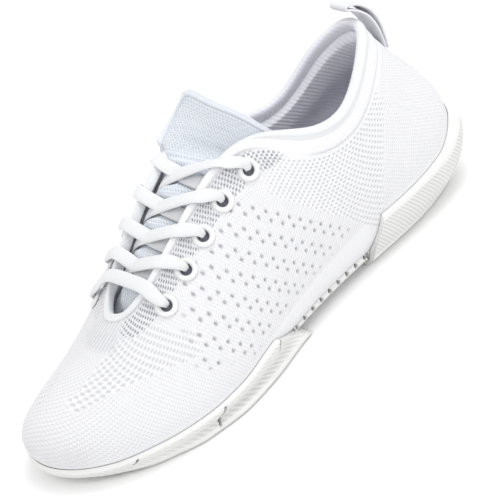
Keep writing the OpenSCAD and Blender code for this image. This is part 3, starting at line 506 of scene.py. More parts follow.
def build_rim():
    """The padded, rolled edge of the collar. It thins into the narrow fold along the throat."""
    us, s, L = even_u(0.6, v=5.0); n = len(us); ul = ud(us)
    up = BR*ss(6.6, 4.9, ul)+0.05; k = ss(6.4, 4.9, ul)
    wall = lin_in(us, np.full(n, 4.95)); c = Q(us, np.full(n, 5.0), -wall/2)
    dv = unit(S(us, np.full(n, 5.0))-S(us, np.full(n, 4.8))); Nn = N(us, np.full(n, 4.95))
    cen = c+dv*((BR-0.2)*k+0.0)[:, None]
    ra = (wall/2+0.55)*k+(wall/2+0.25)*(1-k); rb = (BR+0.5)*k+1.0*(1-k)
    m = 26; t = np.linspace(0, 2*np.pi, m, endpoint=False)
    cs = np.sign(np.cos(t))*np.abs(np.cos(t))**0.85; sn = np.sign(np.sin(t))*np.abs(np.sin(t))**0.85
    pl = 1+0.02*np.cos(s*2*np.pi/1.5)
    front = ss(10.0, 10.8, ul); rb = rb*(1-0.35*front); ra_in = wall/2+0.12
    rx = np.where(cs[None, :] > 0, ((ra-0.12*front)*pl)[:, None], (ra_in*pl)[:, None])
    A = cen[:, None]+Nn[:, None]*(rx*cs[None])[..., None]+dv[:, None]*(rb*pl)[:, None, None]*(sn*(1+0.9*ss(0.3, -0.5, cs)*(sn < 0)))[None, :, None]
    # the lining side of the rim carries painted shade in the valleys of its ribs
    o = make("collar_rim", A, grid_faces(n, m, True, True), M_RIM, "shoe",
             np.stack([np.repeat(s[:, None], m, 1), np.repeat((t*3)[None], n, 0)], -1),
             {"hollow_shade": (0.5-0.5*np.cos((A[..., 1]*0.62+A[..., 2]*0.785)*2*np.pi/1.8))*0.30*ss(0.1, -0.3, cs)[None]*k[:, None]})
    o.data.materials.append(M_LIN); mi = np.zeros((n, m), np.int32); mi[:, (cs < 0.05)] = 1; mi[k < 0.35] = 0
    o.data.polygons.foreach_set("material_index", mi.ravel()[:len(o.data.polygons)])
    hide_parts("collar_binding")


# ---------------------------------------------------------------- stitching
def stitches(name, pts, nrm, body, length=2.2, gap=0.9, r=0.32):
    """Short thread stitches along a line that lies on a surface."""
    pts = np.asarray(pts, float); s = arclen(pts); tot = s[-1]; k = int(tot/(length+gap)); V = []; F = []
    for i in range(k):
        a = i*(length+gap); q = np.linspace(a, a+length, 6)
        c = np.stack([np.interp(q, s, pts[:, j]) for j in range(3)], 1)
        nn = unit(np.stack([np.interp(q, s, nrm[:, j]) for j in range(3)], 1))
        t = unit(np.gradient(c, axis=0)); b = np.cross(t, nn); base = len(V)*0+sum(len(x) for x in V)
        w = np.array([0.25, 0.85, 1, 1, 0.85, 0.25])*r; lift = np.array([-0.35, 0.0, 0.12, 0.12, 0.0, -0.35])
        ring = []
        for j in range(6):
            for g in range(6):
                an = g*np.pi/3; ring.append(c[j]+nn[j]*(lift[j]+w[j]*math.cos(an))+b[j]*w[j]*math.sin(an))
        V.append(np.array(ring)); F.append(grid_faces(6, 6, False, True)+base)
        F.append(np.array([[base, base+1, base+2, base+3], [base, base+3, base+4, base+5], [base+30, base+33, base+32, base+31], [base+30, base+35, base+34, base+33]]))
    o = make(name, np.concatenate(V), np.concatenate(F), M_THR, body)
    bm = bmesh.new(); bm.from_mesh(o.data); bmesh.ops.recalc_face_normals(bm, faces=bm.faces); bm.to_mesh(o.data); bm.free()
    for p in o.data.polygons: p.use_smooth = True
    return o


def build_stitches():
    u = np.linspace(-4.7, 4.7, 400)
    fv = np.linspace(3, 5, 121); pts = []; nr = []
    for x in u:
        P = S(np.full(121, x), fv); d = arclen(P); v = np.interp(d[-1]-6.6, d, fv)
        nn = N(np.array(x), np.array(v)); pts.append(S(np.array(x), np.array(v))-0.35*nn); nr.append(nn)
    stitches("collar_stitching", np.array(pts), np.array(nr), "shoe", 2.4, 1.0, 0.28)


# ---------------------------------------------------------------- eyelets
def build_eyelets():
    ri, ro = 2.5, 4.9
    prof = [(ri+0.05, -5.0), (ri, -3.0), (ri, -0.2), (ri+0.1, 0.45), (ri+0.4, 1.0), (ri+0.9, 1.38), (ri+1.4, 1.45), (ri+1.85, 1.25),
            (ro-0.25, 0.95), (ro-0.05, 0.68), (ro, 0.4), (ro-0.05, 0.15), (ro-0.4, 0.02), (ri+1.2, 0.0), (ri+0.85, -0.3), (ri+0.85, -4.9)]
    prof = np.array(prof); k = 64
    for nm, E in (("lateral", EYE_L), ("medial", EYE_M)):
        V = []; F = []; at = []
        for j, (u, v) in enumerate(E):
            p = S(np.array(u), np.array(v)); z = N(np.array(u), np.array(v)); y0 = S(np.array(u-0.1), np.array(v))-S(np.array(u+0.1), np.array(v))
            x = unit(np.cross(y0, z)); y = np.cross(z, x)
            an = np.linspace(0, 2*np.pi, k, endpoint=False)
            A = p+(np.cos(an)[:, None, None]*x+np.sin(an)[:, None, None]*y)*prof[None, :, 0, None]+z*prof[None, :, 1, None]
            F.append(grid_faces(k, len(prof), True, True)+len(E)*0+sum(len(q) for q in V)); V.append(A.reshape(-1, 3))
            # painted shade down the inside of each eyelet's bore
            at.append(np.repeat(ss(0.35, -0.5, prof[:, 1])[None]*1.0*(prof[:, 0] < ri+0.5), k, 0).ravel())
        o = make("eyelets_"+nm+"_rings", np.concatenate(V), np.concatenate(F), M_EYE, "shoe", None, {"hollow_shade": np.concatenate(at)})
        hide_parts("eyelets_"+nm)


# ---------------------------------------------------------------- soles
def sole_profile(us):
    """Rows of the rubber's section at each station, from the edge of the tread outwards, up the wall,
    over the lip and down the inside to the floor of the cup."""
    n = len(us); hf = ss(3, 0.6, ud(us)); wa = 2.3+3.4*hf; W_ = tab(WALL, us); T_ = tab(TREAD, us)
    h = Hn(us); b0 = S(us, np.zeros(n))

    def flat(d, z):
        p = b0+h*np.asarray(d)[:, None]*1.0; p = p.copy(); p[:, 2] = ground(p[:, 1])+z; return p
    o = np.ones(n)
    key = [flat(T_, 0*o), flat(T_+0.9, 0.25*o), flat(T_+1.6, 1.0*o), flat(np.maximum(T_+2.2, 2.8), 2.8*o),
           Q(us, 0.25*W_, wa+0.75), Q(us, 0.5*W_, wa+0.5), Q(us, 0.75*W_, wa+0.25), Q(us, W_-0.14, wa),
           Q(us, W_-0.05, wa-0.35), Q(us, W_-0.02, wa-1.1-1.4*hf), Q(us, W_, 0.35*o)]
    return np.stack(key, 1), [Q(us, 0.78*W_, 0.3*o), Q(us, 0.52*W_, 0.3*o), Q(us, 0.26*W_, 0.3*o), flat(0.35*o, b0[:, 2]-ground(b0[:, 1])), flat(0.35*o, 2.6*o)]


def build_sole(name, lo, hi, step, keep, replaced):
    """A thin-walled rubber cup between two slanting planes."""
    us, s, L = even_u(step, v=0.8); n = len(us)
    key, inn = sole_profile(us)
    # finer rows up the wall
    per = [3, 3, 3, 9, 9, 9, 9, 3, 4, 3]
    rows = []
    kk = np.swapaxes(key, 0, 1)
    for i in range(len(kk)-1):
        p0 = kk[max(i-1, 0)]; p1 = kk[i]; p2 = kk[i+1]; p3 = kk[min(i+2, len(kk)-1)]
        for t in np.arange(per[i])/per[i]:
            if 3 <= i <= 6:
                q = 0.5*((2*p1)+(-p0+p2)*t+(2*p0-5*p1+4*p2-p3)*t*t+(-p0+3*p1-3*p2+p3)*t**3)
            else:
                q = p1*(1-t)+p2*t
            rows.append((i+t, q))
    rows.append((len(kk)-1, kk[-1]))
    tv = np.array([r[0] for r in rows]); P = np.stack([r[1] for r in rows], 1)
    # ribs up the wall and the groove at the bend, with painted shade in the rib valleys
    h = Hn(us)[:, None]+0*P
    hollow_shade = np.zeros(P.shape[:2]); disp = np.zeros(P.shape[:2])
    ul = ud(us)[:, None]; sm = np.minimum(s, L-s)[:, None]+0*disp
    zone = ss(3.1, 3.5, tv)[None]*ss(7.0, 6.6, tv)[None]
    zgr = P[..., 2]
    phase = (-sm+zgr)*0.7071/1.5 if keep == "heel" else (-sm*0.45+zgr*0.9)/1.55
    rb = 0.5+0.5*np.cos(phase*2*np.pi)
    amp = 0.30
    disp -= amp*(1-rb)*zone; hollow_shade = np.maximum(hollow_shade, (0.26 if keep == "heel" else 0.20)*(1-rb)*zone)
    if keep == "fore":
        y = P[..., 1]; z = P[..., 2]
        # slits cut across the forefoot, painted near black as painted shade
        for (yy, w_, dp, zmax, lean) in ((-57.4, 0.75, 1.6, 99, 0.25), (-98.0, 0.6, 0.8, 99, 0.45), (-20.5, 0.55, 0.8, 99, 0.3)):
            dd = np.abs(y-yy-np.where(z < 8, lean+0.65, lean)*(z-8)); g = ss(w_, w_*0.35, dd)*ss(2.6, 3.2, tv)[None]*(ss(7.6, 7.2, tv)[None] if yy > -90 and yy < -30 else ss(4.6, 5.4, tv)[None]*ss(7.8, 7.4, tv)[None])
            disp -= dp*g; hollow_shade = np.maximum(hollow_shade, 0.85*g)
    P = P+h*disp[..., None]
    full = np.concatenate([P, np.stack(inn, 1)], 1); m = full.shape[1]
    H = np.concatenate([hollow_shade, np.zeros((n, len(inn)))], 1)
    V = full.reshape(-1, 3); F = [grid_faces(n, m, True, False)]; hv = [H.ravel()]; VV = [V]; off = len(V)
    # close the tread and the floor of the cup across pairs of stations
    half = n//2
    for row, grooved in ((0, True), (m-1, False)):
        e = full[:, row]; k = 44
        Lp = e[0:half+1]; Rp = e[(-np.arange(0, half+1)) % n]
        t = np.linspace(0, 1, k)[None, :, None]; G = Lp[:, None]*(1-t)+Rp[:, None]*t
        if grooved:
            # tread grooves pressed in, with light painted shade
            y = G[..., 1]; ph = np.mod(y+112, 8.0); gr = ss(0.0, 0.35, ph)*ss(1.95, 1.6, ph)
            tt = np.abs(t[..., 0]*2-1); wid = np.linalg.norm(Lp-Rp, axis=1)[:, None]
            ins = ss(0.5, 2.5, (1-tt)*wid/2)
            wave = 0.5+0.5*np.cos((G[..., 0])*2*np.pi/7.0)
            G[..., 2] += 0.85*gr*ins; hg = 0.10*gr*ins
        else:
            hg = np.zeros(G.shape[:2])
        Fg = grid_faces(half+1, k, False, False)
        if not grooved: Fg = Fg[:, ::-1]
        VV.append(G.reshape(-1, 3)); F.append(Fg[:, ::-1]+off); hv.append(np.asarray(hg).ravel()); off += G.shape[0]*k
    V = np.concatenate(VV); F = np.concatenate(F); hv = np.concatenate(hv)
    o = make(name, V, F, M_RUB, None, None, {"hollow_shade": hv}, orient=False)
    bm = bmesh.new(); bm.from_mesh(o.data)
    bmesh.ops.remove_doubles(bm, verts=bm.verts, dist=2e-6)
    bmesh.ops.dissolve_degenerate(bm, edges=bm.edges, dist=1e-6)
    for (pt, nm) in (lo, hi):
        if pt is None: continue
        co = (np.array(pt)+HOME)*0.001
        geom = bm.verts[:]+bm.edges[:]+bm.faces[:]
        r = bmesh.ops.bisect_plane(bm, geom=geom, dist=1e-7, plane_co=Vector(co), plane_no=Vector(nm), clear_outer=True)
        cut = [g for g in r["geom_cut"] if isinstance(g, bmesh.types.BMEdge)]
        bmesh.ops.triangle_fill(bm, use_beauty=False, use_dissolve=False, edges=cut)
    bmesh.ops.recalc_face_normals(bm, faces=bm.faces)
    bm.to_mesh(o.data); bm.free(); o.data.update()
    o.data.polygons.foreach_set("use_smooth", np.full(len(o.data.polygons), True))
    bm = bmesh.new(); bm.from_mesh(o.data)
    for e in bm.edges:
        if len(e.link_faces) == 2 and e.calc_face_angle(0) > math.radians(50): e.smooth = False
    bm.to_mesh(o.data); bm.free()
    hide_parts(*replaced)
    return o


def build_strip():
    us, s, L = even_u(0.5, v=0.3); n = len(us)
    b0 = S(us, np.zeros(n)); h = Hn(us); rows = []
    zb = ground(b0[:, 1])+4.2; zt = b0[:, 2]-0.3
    y = b0[:, 1]
    nt = 18; V = []; H = []
    for i, t in enumerate(np.linspace(0, 1, nt)):
        bulge = 0.9*math.sin(math.pi*t)**0.5
        p = b0+h*(0.9+1.6*0+bulge)[None] if False else b0+h*(0.6+bulge)
        p = p.copy(); p[:, 2] = zb*(1-t)+zt*t+0.6*t
        ph = np.mod(y-3.0, 6.2)-3.1; ph = np.abs(ph)
        # dents in the moulding, pressed in and painted near black as painted shade
        nd_ = ss(1.25, 0.6, np.sqrt((ph-0.0)**2+((t-0.55)*3.2)**2))*0+ss(1.0, 0.55, np.sqrt(((3.1-ph)/1.15)**2+((t-0.62)/0.42)**2))
        p = p-h*(2.0*nd_)[:, None]; V.append(p); H.append(0.95*nd_)
    A = np.stack(V, 1); Hh = np.stack(H, 1); m = nt
    VV = [A.reshape(-1, 3)]; F = [grid_faces(n, m, True, False)]; hv = [Hh.ravel()]; off = n*m; half = n//2
    for row, fl in ((0, True), (m-1, False)):
        e = A[:, row]; k = 10; Lp = e[0:half+1]; Rp = e[(-np.arange(0, half+1)) % n]; t = np.linspace(0, 1, k)[None, :, None]
        G = Lp[:, None]*(1-t)+Rp[:, None]*t; Fg = grid_faces(half+1, k, False, False)
        VV.append(G.reshape(-1, 3)); F.append((Fg[:, ::-1] if fl else Fg)+off); hv.append(np.zeros(G.shape[0]*k)); off += G.shape[0]*k
    o = make("arch_moulding", np.concatenate(VV), np.concatenate(F), M_STRIP, "shoe", None, {"hollow_shade": np.concatenate(hv)}, orient=False)
    bm = bmesh.new(); bm.from_mesh(o.data); bmesh.ops.remove_doubles(bm, verts=bm.verts, dist=2e-6)
    for pt, nm in (((0, -4.5, 5), (0, -1, 0)), ((0, 47.5, 5), (0, 1, 0))):
        co = (np.array(pt)+HOME)*0.001
        r = bmesh.ops.bisect_plane(bm, geom=bm.verts[:]+bm.edges[:]+bm.faces[:], dist=1e-7, plane_co=Vector(co), plane_no=Vector(nm), clear_outer=True)
        cut = [g for g in r["geom_cut"] if isinstance(g, bmesh.types.BMEdge)]
        bmesh.ops.triangle_fill(bm, use_beauty=False, use_dissolve=False, edges=cut)
    bmesh.ops.recalc_face_normals(bm, faces=bm.faces); bm.to_mesh(o.data); bm.free()
    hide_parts("arch_shank")


def build_insole():
    us, s, L = even_u(1.2, v=0.3); n = len(us)
    ins = -(lin_in(us, np.full(n, 0.05)))-0.5; b0 = S(us, np.zeros(n)); h = Hn(us); half = n//2
    def ring(d, z):
        p = b0+h*(ins-d)[:, None]; p = p.copy(); p[:, 2] = b0[:, 2]+z; return p
    side = [ring(0.6, 1.3), ring(0.0, 1.6), ring(0.0, 3.6), ring(0.35, 4.2), ring(1.1, 4.5)]
    A = np.stack(side, 1); m = len(side)
    VV = [A.reshape(-1, 3)]; F = [grid_faces(n, m, True, False)]; off = n*m; uv = [A[..., :2].reshape(-1, 2)]
    for row, fl in ((0, True), (m-1, False)):
        e = A[:, row]; k = 40; Lp = e[0:half+1]; Rp = e[(-np.arange(0, half+1)) % n]; t = np.linspace(0, 1, k)[None, :, None]
        G = Lp[:, None]*(1-t)+Rp[:, None]*t
        if not fl:
            tt = (t[..., 0]*2-1); G[..., 2] -= 1.1*(1-tt**2)*ss(0, 20, np.linalg.norm(Lp-Rp, axis=1))[:, None]
            pf = staggered(G[..., 0], G[..., 1], 5.0, 4.3, 0.75, 0.75)*ss(-30, -40, G[..., 1]); G[..., 2] -= 0.5*pf*ss(0.02, 0.2, 1-tt**2)*ss(4, 24, np.linalg.norm(Lp-Rp, axis=1))[:, None]
        Fg = grid_faces(half+1, k, False, False)
        VV.append(G.reshape(-1, 3)); F.append((Fg[:, ::-1] if fl else Fg)+off); uv.append(G[..., :2].reshape(-1, 2)); off += G.shape[0]*k
    V = np.concatenate(VV)
    o = make("insole", V, np.concatenate(F), M_INS, None, np.concatenate(uv), {"hollow_shade": np.zeros(len(V))}, orient=False)
    bm = bmesh.new(); bm.from_mesh(o.data); bmesh.ops.remove_doubles(bm, verts=bm.verts, dist=2e-6); bmesh.ops.recalc_face_normals(bm, faces=bm.faces); bm.to_mesh(o.data); bm.free()
    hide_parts("insole_toe", "insole_rear"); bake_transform(o)


# ---------------------------------------------------------------- tongue
EY_IN = KNIT+1.3+LIN+0.35
TB = EY_IN+4.4
TF, TFO = 1.2, 2.8


def trow(u, d):
    u = float(u); a = Q(np.array(u), np.array(4.5), np.array(-d-1.0)); b = Q(np.array(u), np.array(5.0), np.array(-d)); m = K-u
    c = Q(np.array(m), np.array(5.0), np.array(-d)); e = Q(np.array(m), np.array(4.5), np.array(-d-1.0)); g = (b+c)/2
    up = unit(N(np.array(u), np.array(5.0))+N(np.array(m), np.array(5.0)))
    k = float(ss(11.3, 10.2, u))
    c = Q(np.array(m), np.array(5.0), np.array(-d+2.9*k)); e = Q(np.array(m), np.array(4.5), np.array(-d+2.4*k))
    return np.array([a, b, b*0.5+g*0.5+up*(1.6+2.2*k), g+up*(2.2+2.7*k), c*0.45+g*0.55+up*(1.6+2.6*k), c, e])


NT = unit(np.array([-0.12, -0.80, 0.58]))


def thi(T, d):
    w = T[3]; o = T[:3]; out = []
    for s in (1, 0.72, 0.36, 0, -0.36, -0.72, -1):
        out.append(o+np.array([w*s*0.88, (0.6 if s > 0 else T[4])*w*s*s, -(T[6] if s > 0 else T[5])*w*s*s])-NT*d)
    return np.array(out)


# The tongue above the lace, from its outer wing to its inner peak, row by row up to its free edge.
TIP = np.array([[[16.0,18.5,75.1],[11.0,14.0,78.0],[5.0,10.2,80.7],[-2.0,7.1,83.2],[-9.0,4.0,85.7],[-16.0,1.2,88.0],[-22.0,-1.6,90.6]],
  [[17.0,23.1,75.3],[11.5,18.5,80.9],[4.5,14.9,84.7],[-3.0,12.2,88.4],[-10.0,10.0,91.5],[-17.5,7.3,93.1],[-23.5,3.3,92.8]],
  [[18.0,28.8,76.5],[11.5,23.3,84.7],[4.0,19.8,90.3],[-3.5,17.1,94.0],[-10.5,15.3,96.8],[-17.5,13.7,98.9],[-22.5,11.2,97.9]],
  [[18.5,34.5,78.0],[13.5,29.7,86.8],[7.0,25.7,94.3],[-0.5,22.4,99.2],[-7.5,20.5,102.8],[-14.0,19.5,105.8],[-17.5,17.6,105.8]]])


def build_tongue():
    low = [trow(u, TB) for u in np.arange(11.0, 6.99, -0.5)]
    # a short neck joins the part under the lace to the part above it
    rows = [np.array(r) for r in low]
    rows = rows[:-1]+[0.5*rows[-1]+0.5*(0.6*rows[-2]+0.4*TIP[0])]+list(TIP)
    C = np.array(rows)                        # (rows, 7, 3)
    A = catmull(C, 16)                        # finer along
    A = np.swapaxes(catmull(np.swapaxes(A, 0, 1), 18), 0, 1)  # finer across
    n, m = A.shape[:2]
    du = np.gradient(A, axis=0); dv = np.gradient(A, axis=1); Nn = unit(np.cross(du, dv))
    c = A.reshape(-1, 3).mean(0)
    if (Nn[:, m//2]@np.array([0, -0.7, 0.7])).mean() < 0: Nn = -Nn
    sl = np.concatenate([[0], np.cumsum(np.linalg.norm(np.diff(A[:, m//2], axis=0), axis=1))])[:, None]+0*A[..., 0]
    sx = np.concatenate([np.zeros((n, 1)), np.cumsum(np.linalg.norm(np.diff(A, axis=1), axis=-1), 1)], 1); sx = sx-sx[:, m//2:m//2+1]
    wid = np.abs(sx[:, -1]-sx[:, 0])[:, None]; eL = np.abs(sx-sx[:, :1]); eR = np.abs(sx[:, -1:]-sx); ed = np.minimum(eL, eR); et = sl.max()-sl
    e = np.minimum(ed, et)
    dots = staggered(sx, sl, 1.5, 1.05, 0.42, 0.36)
    ribs = 0.5+0.5*np.cos(sx*2*np.pi/1.5)
    face = -0.25*dots*ss(2.2, 3.0, e)+0.12*ribs*ss(2.2, 3.0, e)
    crown = 0.9*(1-np.exp(-e/3.0))-0.9; groove = -0.35*np.exp(-((e-2.4)/0.35)**2)
    binding = 0.25*ss(2.2, 1.7, e)
    out = A+Nn*(face+crown+groove+binding)[..., None]
    # painted shade in the dimples and in the groove inside the binding
    hollow_shade = np.maximum(0.55*dots*ss(2.2, 3.0, e), 0.35*np.exp(-((e-2.4)/0.35)**2))
    # the laces press into the padding
    Lc = lace_path()[0]; LB = lace_path()[2]; flat_ = out.reshape(-1, 3); nf = Nn.reshape(-1, 3); push = np.zeros(len(flat_))
    for a in range(0, len(flat_), 2000):
        dlt = flat_[a:a+2000, None]-Lc[None]; hgt = np.einsum("ijk,ik->ij", dlt, nf[a:a+2000]); lat = np.sqrt(np.maximum((dlt**2).sum(-1)-hgt**2, 0))
        need = (hgt+1.25)*ss(5.2, 3.0, lat)*(hgt < 5)
        push[a:a+2000] = np.clip(need.max(1), 0, 3.2)
    out = out-Nn*push.reshape(out.shape[:2])[..., None]; A = A-Nn*push.reshape(out.shape[:2])[..., None]
    back_ = A-Nn*((TF+TFO)*(0.55+0.45*(1-np.exp(-e/2.5))))[..., None]
    # one closed skin: face, rolled edges, back
    k = 5; th = np.linspace(0, np.pi, k+2)[1:-1]
    def edge_ring(grid):
        return np.concatenate([grid[0, :], grid[1:, -1], grid[-1, -2::-1], grid[-2:0:-1, 0]], 0)
    ro = edge_ring(out); ri = edge_ring(back_); q = len(ro)
    outd = unit((edge_ring(A)-np.concatenate([A[1, :], A[1:, -2], A[-2, -2::-1], A[-2:0:-1, 1]], 0)))
    cen = (ro+ri)/2; hv = (ro-ri)/2; rr = np.linalg.norm(hv, axis=1)[:, None]
    rings = [cen+hv*math.cos(t)+outd*rr*math.sin(t)*0.8 for t in th]
    V = [out.reshape(-1, 3), back_.reshape(-1, 3)]+rings
    idx = lambda g: np.concatenate([g[0, :], g[1:, -1], g[-1, -2::-1], g[-2:0:-1, 0]], 0)
    I0 = np.arange(n*m).reshape(n, m); I1 = I0+n*m; loops = [idx(I0)]+[2*n*m+j*q+np.arange(q) for j in range(k)]+[idx(I1)]
    F = [grid_faces(n, m, False, False), grid_faces(n, m, False, False)[:, ::-1]+n*m]
    for a, b in zip(loops[:-1], loops[1:]):
        a2 = np.roll(a, -1); b2 = np.roll(b, -1); F.append(np.stack([a, b, b2, a2], 1))
    V = np.concatenate(V); F = np.concatenate(F)
    uvs = np.concatenate([np.stack([sx, sl], -1).reshape(-1, 2)]*2+[np.zeros((q*k, 2))])
    hl = np.concatenate([hollow_shade.ravel(), np.zeros(n*m), np.zeros(q*k)])
    o = make("tongue", V, F, M_TON, None, uvs, {"hollow_shade": hl}, orient=False)
    bm = bmesh.new(); bm.from_mesh(o.data); bmesh.ops.recalc_face_normals(bm, faces=bm.faces); bm.to_mesh(o.data); bm.free()
    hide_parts("tongue_lower", "tongue_top_face", "tongue_top_foam", "tongue_edge_binding")
    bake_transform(o)


# ---------------------------------------------------------------- lace
LU = EY_IN+2.2


def qq(u, v, d): return Q(np.array(float(u)), np.array(float(v)), np.array(float(d)))
def acr(e):
    s = -1 if e[0] < K/2 else 1
    return unit(S(np.array(e[0]+0.2*s), np.array(float(e[1])))-S(np.array(e[0]-0.2*s), np.array(float(e[1]))))
def nx(e, t): return e[0]+t*(-1 if e[0] < K/2 else 1)
def un5(e): return N(np.array(float(e[0])), np.array(5.0))


LW, LT = 6.4, 1.9
def under_pts(e):
    return [[qq(e[0], e[1]+0.03, 1.3), acr(e), 3.3, 1.9], [qq(e[0], e[1]+0.03, -2.2), acr(e), 3.0, 2.0], [qq(e[0], e[1]+0.07, -EY_IN-1.5), acr(e), 3.1, 1.9],
            [qq(nx(e, -0.03), e[1]+0.18, -LU-0.1), acr(e), 4.4, 1.7], [qq(nx(e, -0.14), 4.82, -LU+0.1), acr(e), LW, LT]]
def cross_pts(a, b, h):
    aa = qq(nx(a, -0.26), 5, -LU+1.4); m = qq(nx(a, -0.26), 5, 0); q = qq(nx(b, -0.72), 5, 0); up = unit(un5(a)+un5(b))
    d = unit(np.array([0, 1, 0.6]))
    return [[(aa*0.4+(m*0.8+q*0.2-up*4.4)*0.6), d, LW, LT], [(m+q)/2+up*h, d, LW, LT], [qq(nx(b, -0.62), 5, 1.9), acr(b), LW, LT],
            [qq(nx(b, -0.3), b[1]*0.45+5*0.55, 2.7), acr(b), LW, LT], [qq(nx(b, -0.1), b[1]+0.17, 3.3), acr(b), 4.6, 2.1]]
def strand(a, b, h): return cross_pts(a, b, h)+under_pts(b)
def tail_in(e):
    w = under_pts(e)
    return w[:4]+[[qq(nx(e, 0.06), 4.6, -LU-0.3), acr(e), LW, LT], [qq(nx(e, 0.15), 4.75, -LU-0.5), acr(e), LW, LT]]
HN, HF = -0.2, -2.7
def bar_half(e): return [[qq(nx(e, -0.42), 4.9, 2.4), acr(e), LW, LT], [qq(nx(e, -0.25), e[1]+0.45, 2.7), acr(e), LW, LT], [qq(nx(e, -0.08), e[1]+0.14, 3.4), acr(e), 4.6, 2.2]]


def lace_path():
    PL = under_pts(EYE_L[4])+strand(EYE_L[4], EYE_M[3], HF)+strand(EYE_M[3], EYE_L[2], HN)+strand(EYE_L[2], EYE_M[1], HF)+cross_pts(EYE_M[1], EYE_L[0], HN)+tail_in(EYE_L[0])
    PM = under_pts(EYE_M[4])+strand(EYE_M[4], EYE_L[3], HN)+strand(EYE_L[3], EYE_M[2], HF)+strand(EYE_M[2], EYE_L[1], HN)+cross_pts(EYE_L[1], EYE_M[0], HF)+tail_in(EYE_M[0])
    bl, bm_ = bar_half(EYE_L[4]), bar_half(EYE_M[4])
    bar = [[(bl[0][0]+bm_[0][0])/2+np.array([0, 0, 0.4]), unit(np.array([0, 1, 0.5])), LW, LT]]
    Lc = PM[::-1]+bm_[::-1]+bar+bl+PL
    C = np.array([q[0] for q in Lc]); D = np.array([q[1] for q in Lc]); Wd = np.array([[q[2], q[3]] for q in Lc])
    # Chaikin corner cutting smooths the route
    def chaikin(X, k=2):
        for _ in range(k):
            Y = np.empty((2*len(X)-2,)+X.shape[1:]); Y[0::2] = 0.75*X[:-1]+0.25*X[1:]; Y[1::2] = 0.25*X[:-1]+0.75*X[1:]
            X = np.concatenate([X[:1], Y, X[-1:]])
        return X
    for i in range(1, len(D)):
        pass
    Cs, Ds, Ws = chaikin(C, 3), chaikin(D, 3), chaikin(Wd, 3)
    s = arclen(Cs); n = int(s[-1]/0.55); q = np.linspace(0, s[-1], n)
    Cs = np.stack([np.interp(q, s, Cs[:, j]) for j in range(3)], 1); Ds = np.stack([np.interp(q, s, Ds[:, j]) for j in range(3)], 1); Ws = np.stack([np.interp(q, s, Ws[:, j]) for j in range(2)], 1)
    T = unit(np.gradient(Cs, axis=0)); A_ = unit(Ds-T*np.sum(Ds*T, -1, keepdims=True)); B_ = np.cross(T, A_)
    return Cs, A_, B_, Ws, q


def build_lace():
    Cs, A_, B_, Ws, q = lace_path(); n = len(q); s = q
    m = 28; t = np.linspace(0, 2*np.pi, m, endpoint=False)
    cs = np.sign(np.cos(t))*np.abs(np.cos(t))**0.62; sn = np.sign(np.sin(t))*np.abs(np.sin(t))**0.9
    x = cs[None]*Ws[:, :1]/2; y = sn[None]*Ws[:, 1:]/2*(1-0.22*(cs[None]**4))
    br = np.sin((q[:, None]+np.abs(x)*1.0)*2*np.pi/1.9); y = y+np.sign(sn)[None]*0.07*br*(np.abs(sn)[None] > 0.3)
    V = Cs[:, None]+A_[:, None]*x[..., None]+B_[:, None]*y[..., None]
    uv = np.stack([np.repeat(q[:, None], m, 1), x], -1)
    cap0 = list(range(m)); cap1 = list(range((n-1)*m, n*m))
    o = make("lace_flat", V, grid_faces(n, m, False, True), M_LACE, "shoe", uv, {"hollow_shade": np.zeros(n*m)}, extra=[cap0[::-1], cap1])
    bm = bmesh.new(); bm.from_mesh(o.data); bmesh.ops.recalc_face_normals(bm, faces=bm.faces); bm.to_mesh(o.data); bm.free()
    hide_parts("lace"); return s[-1]


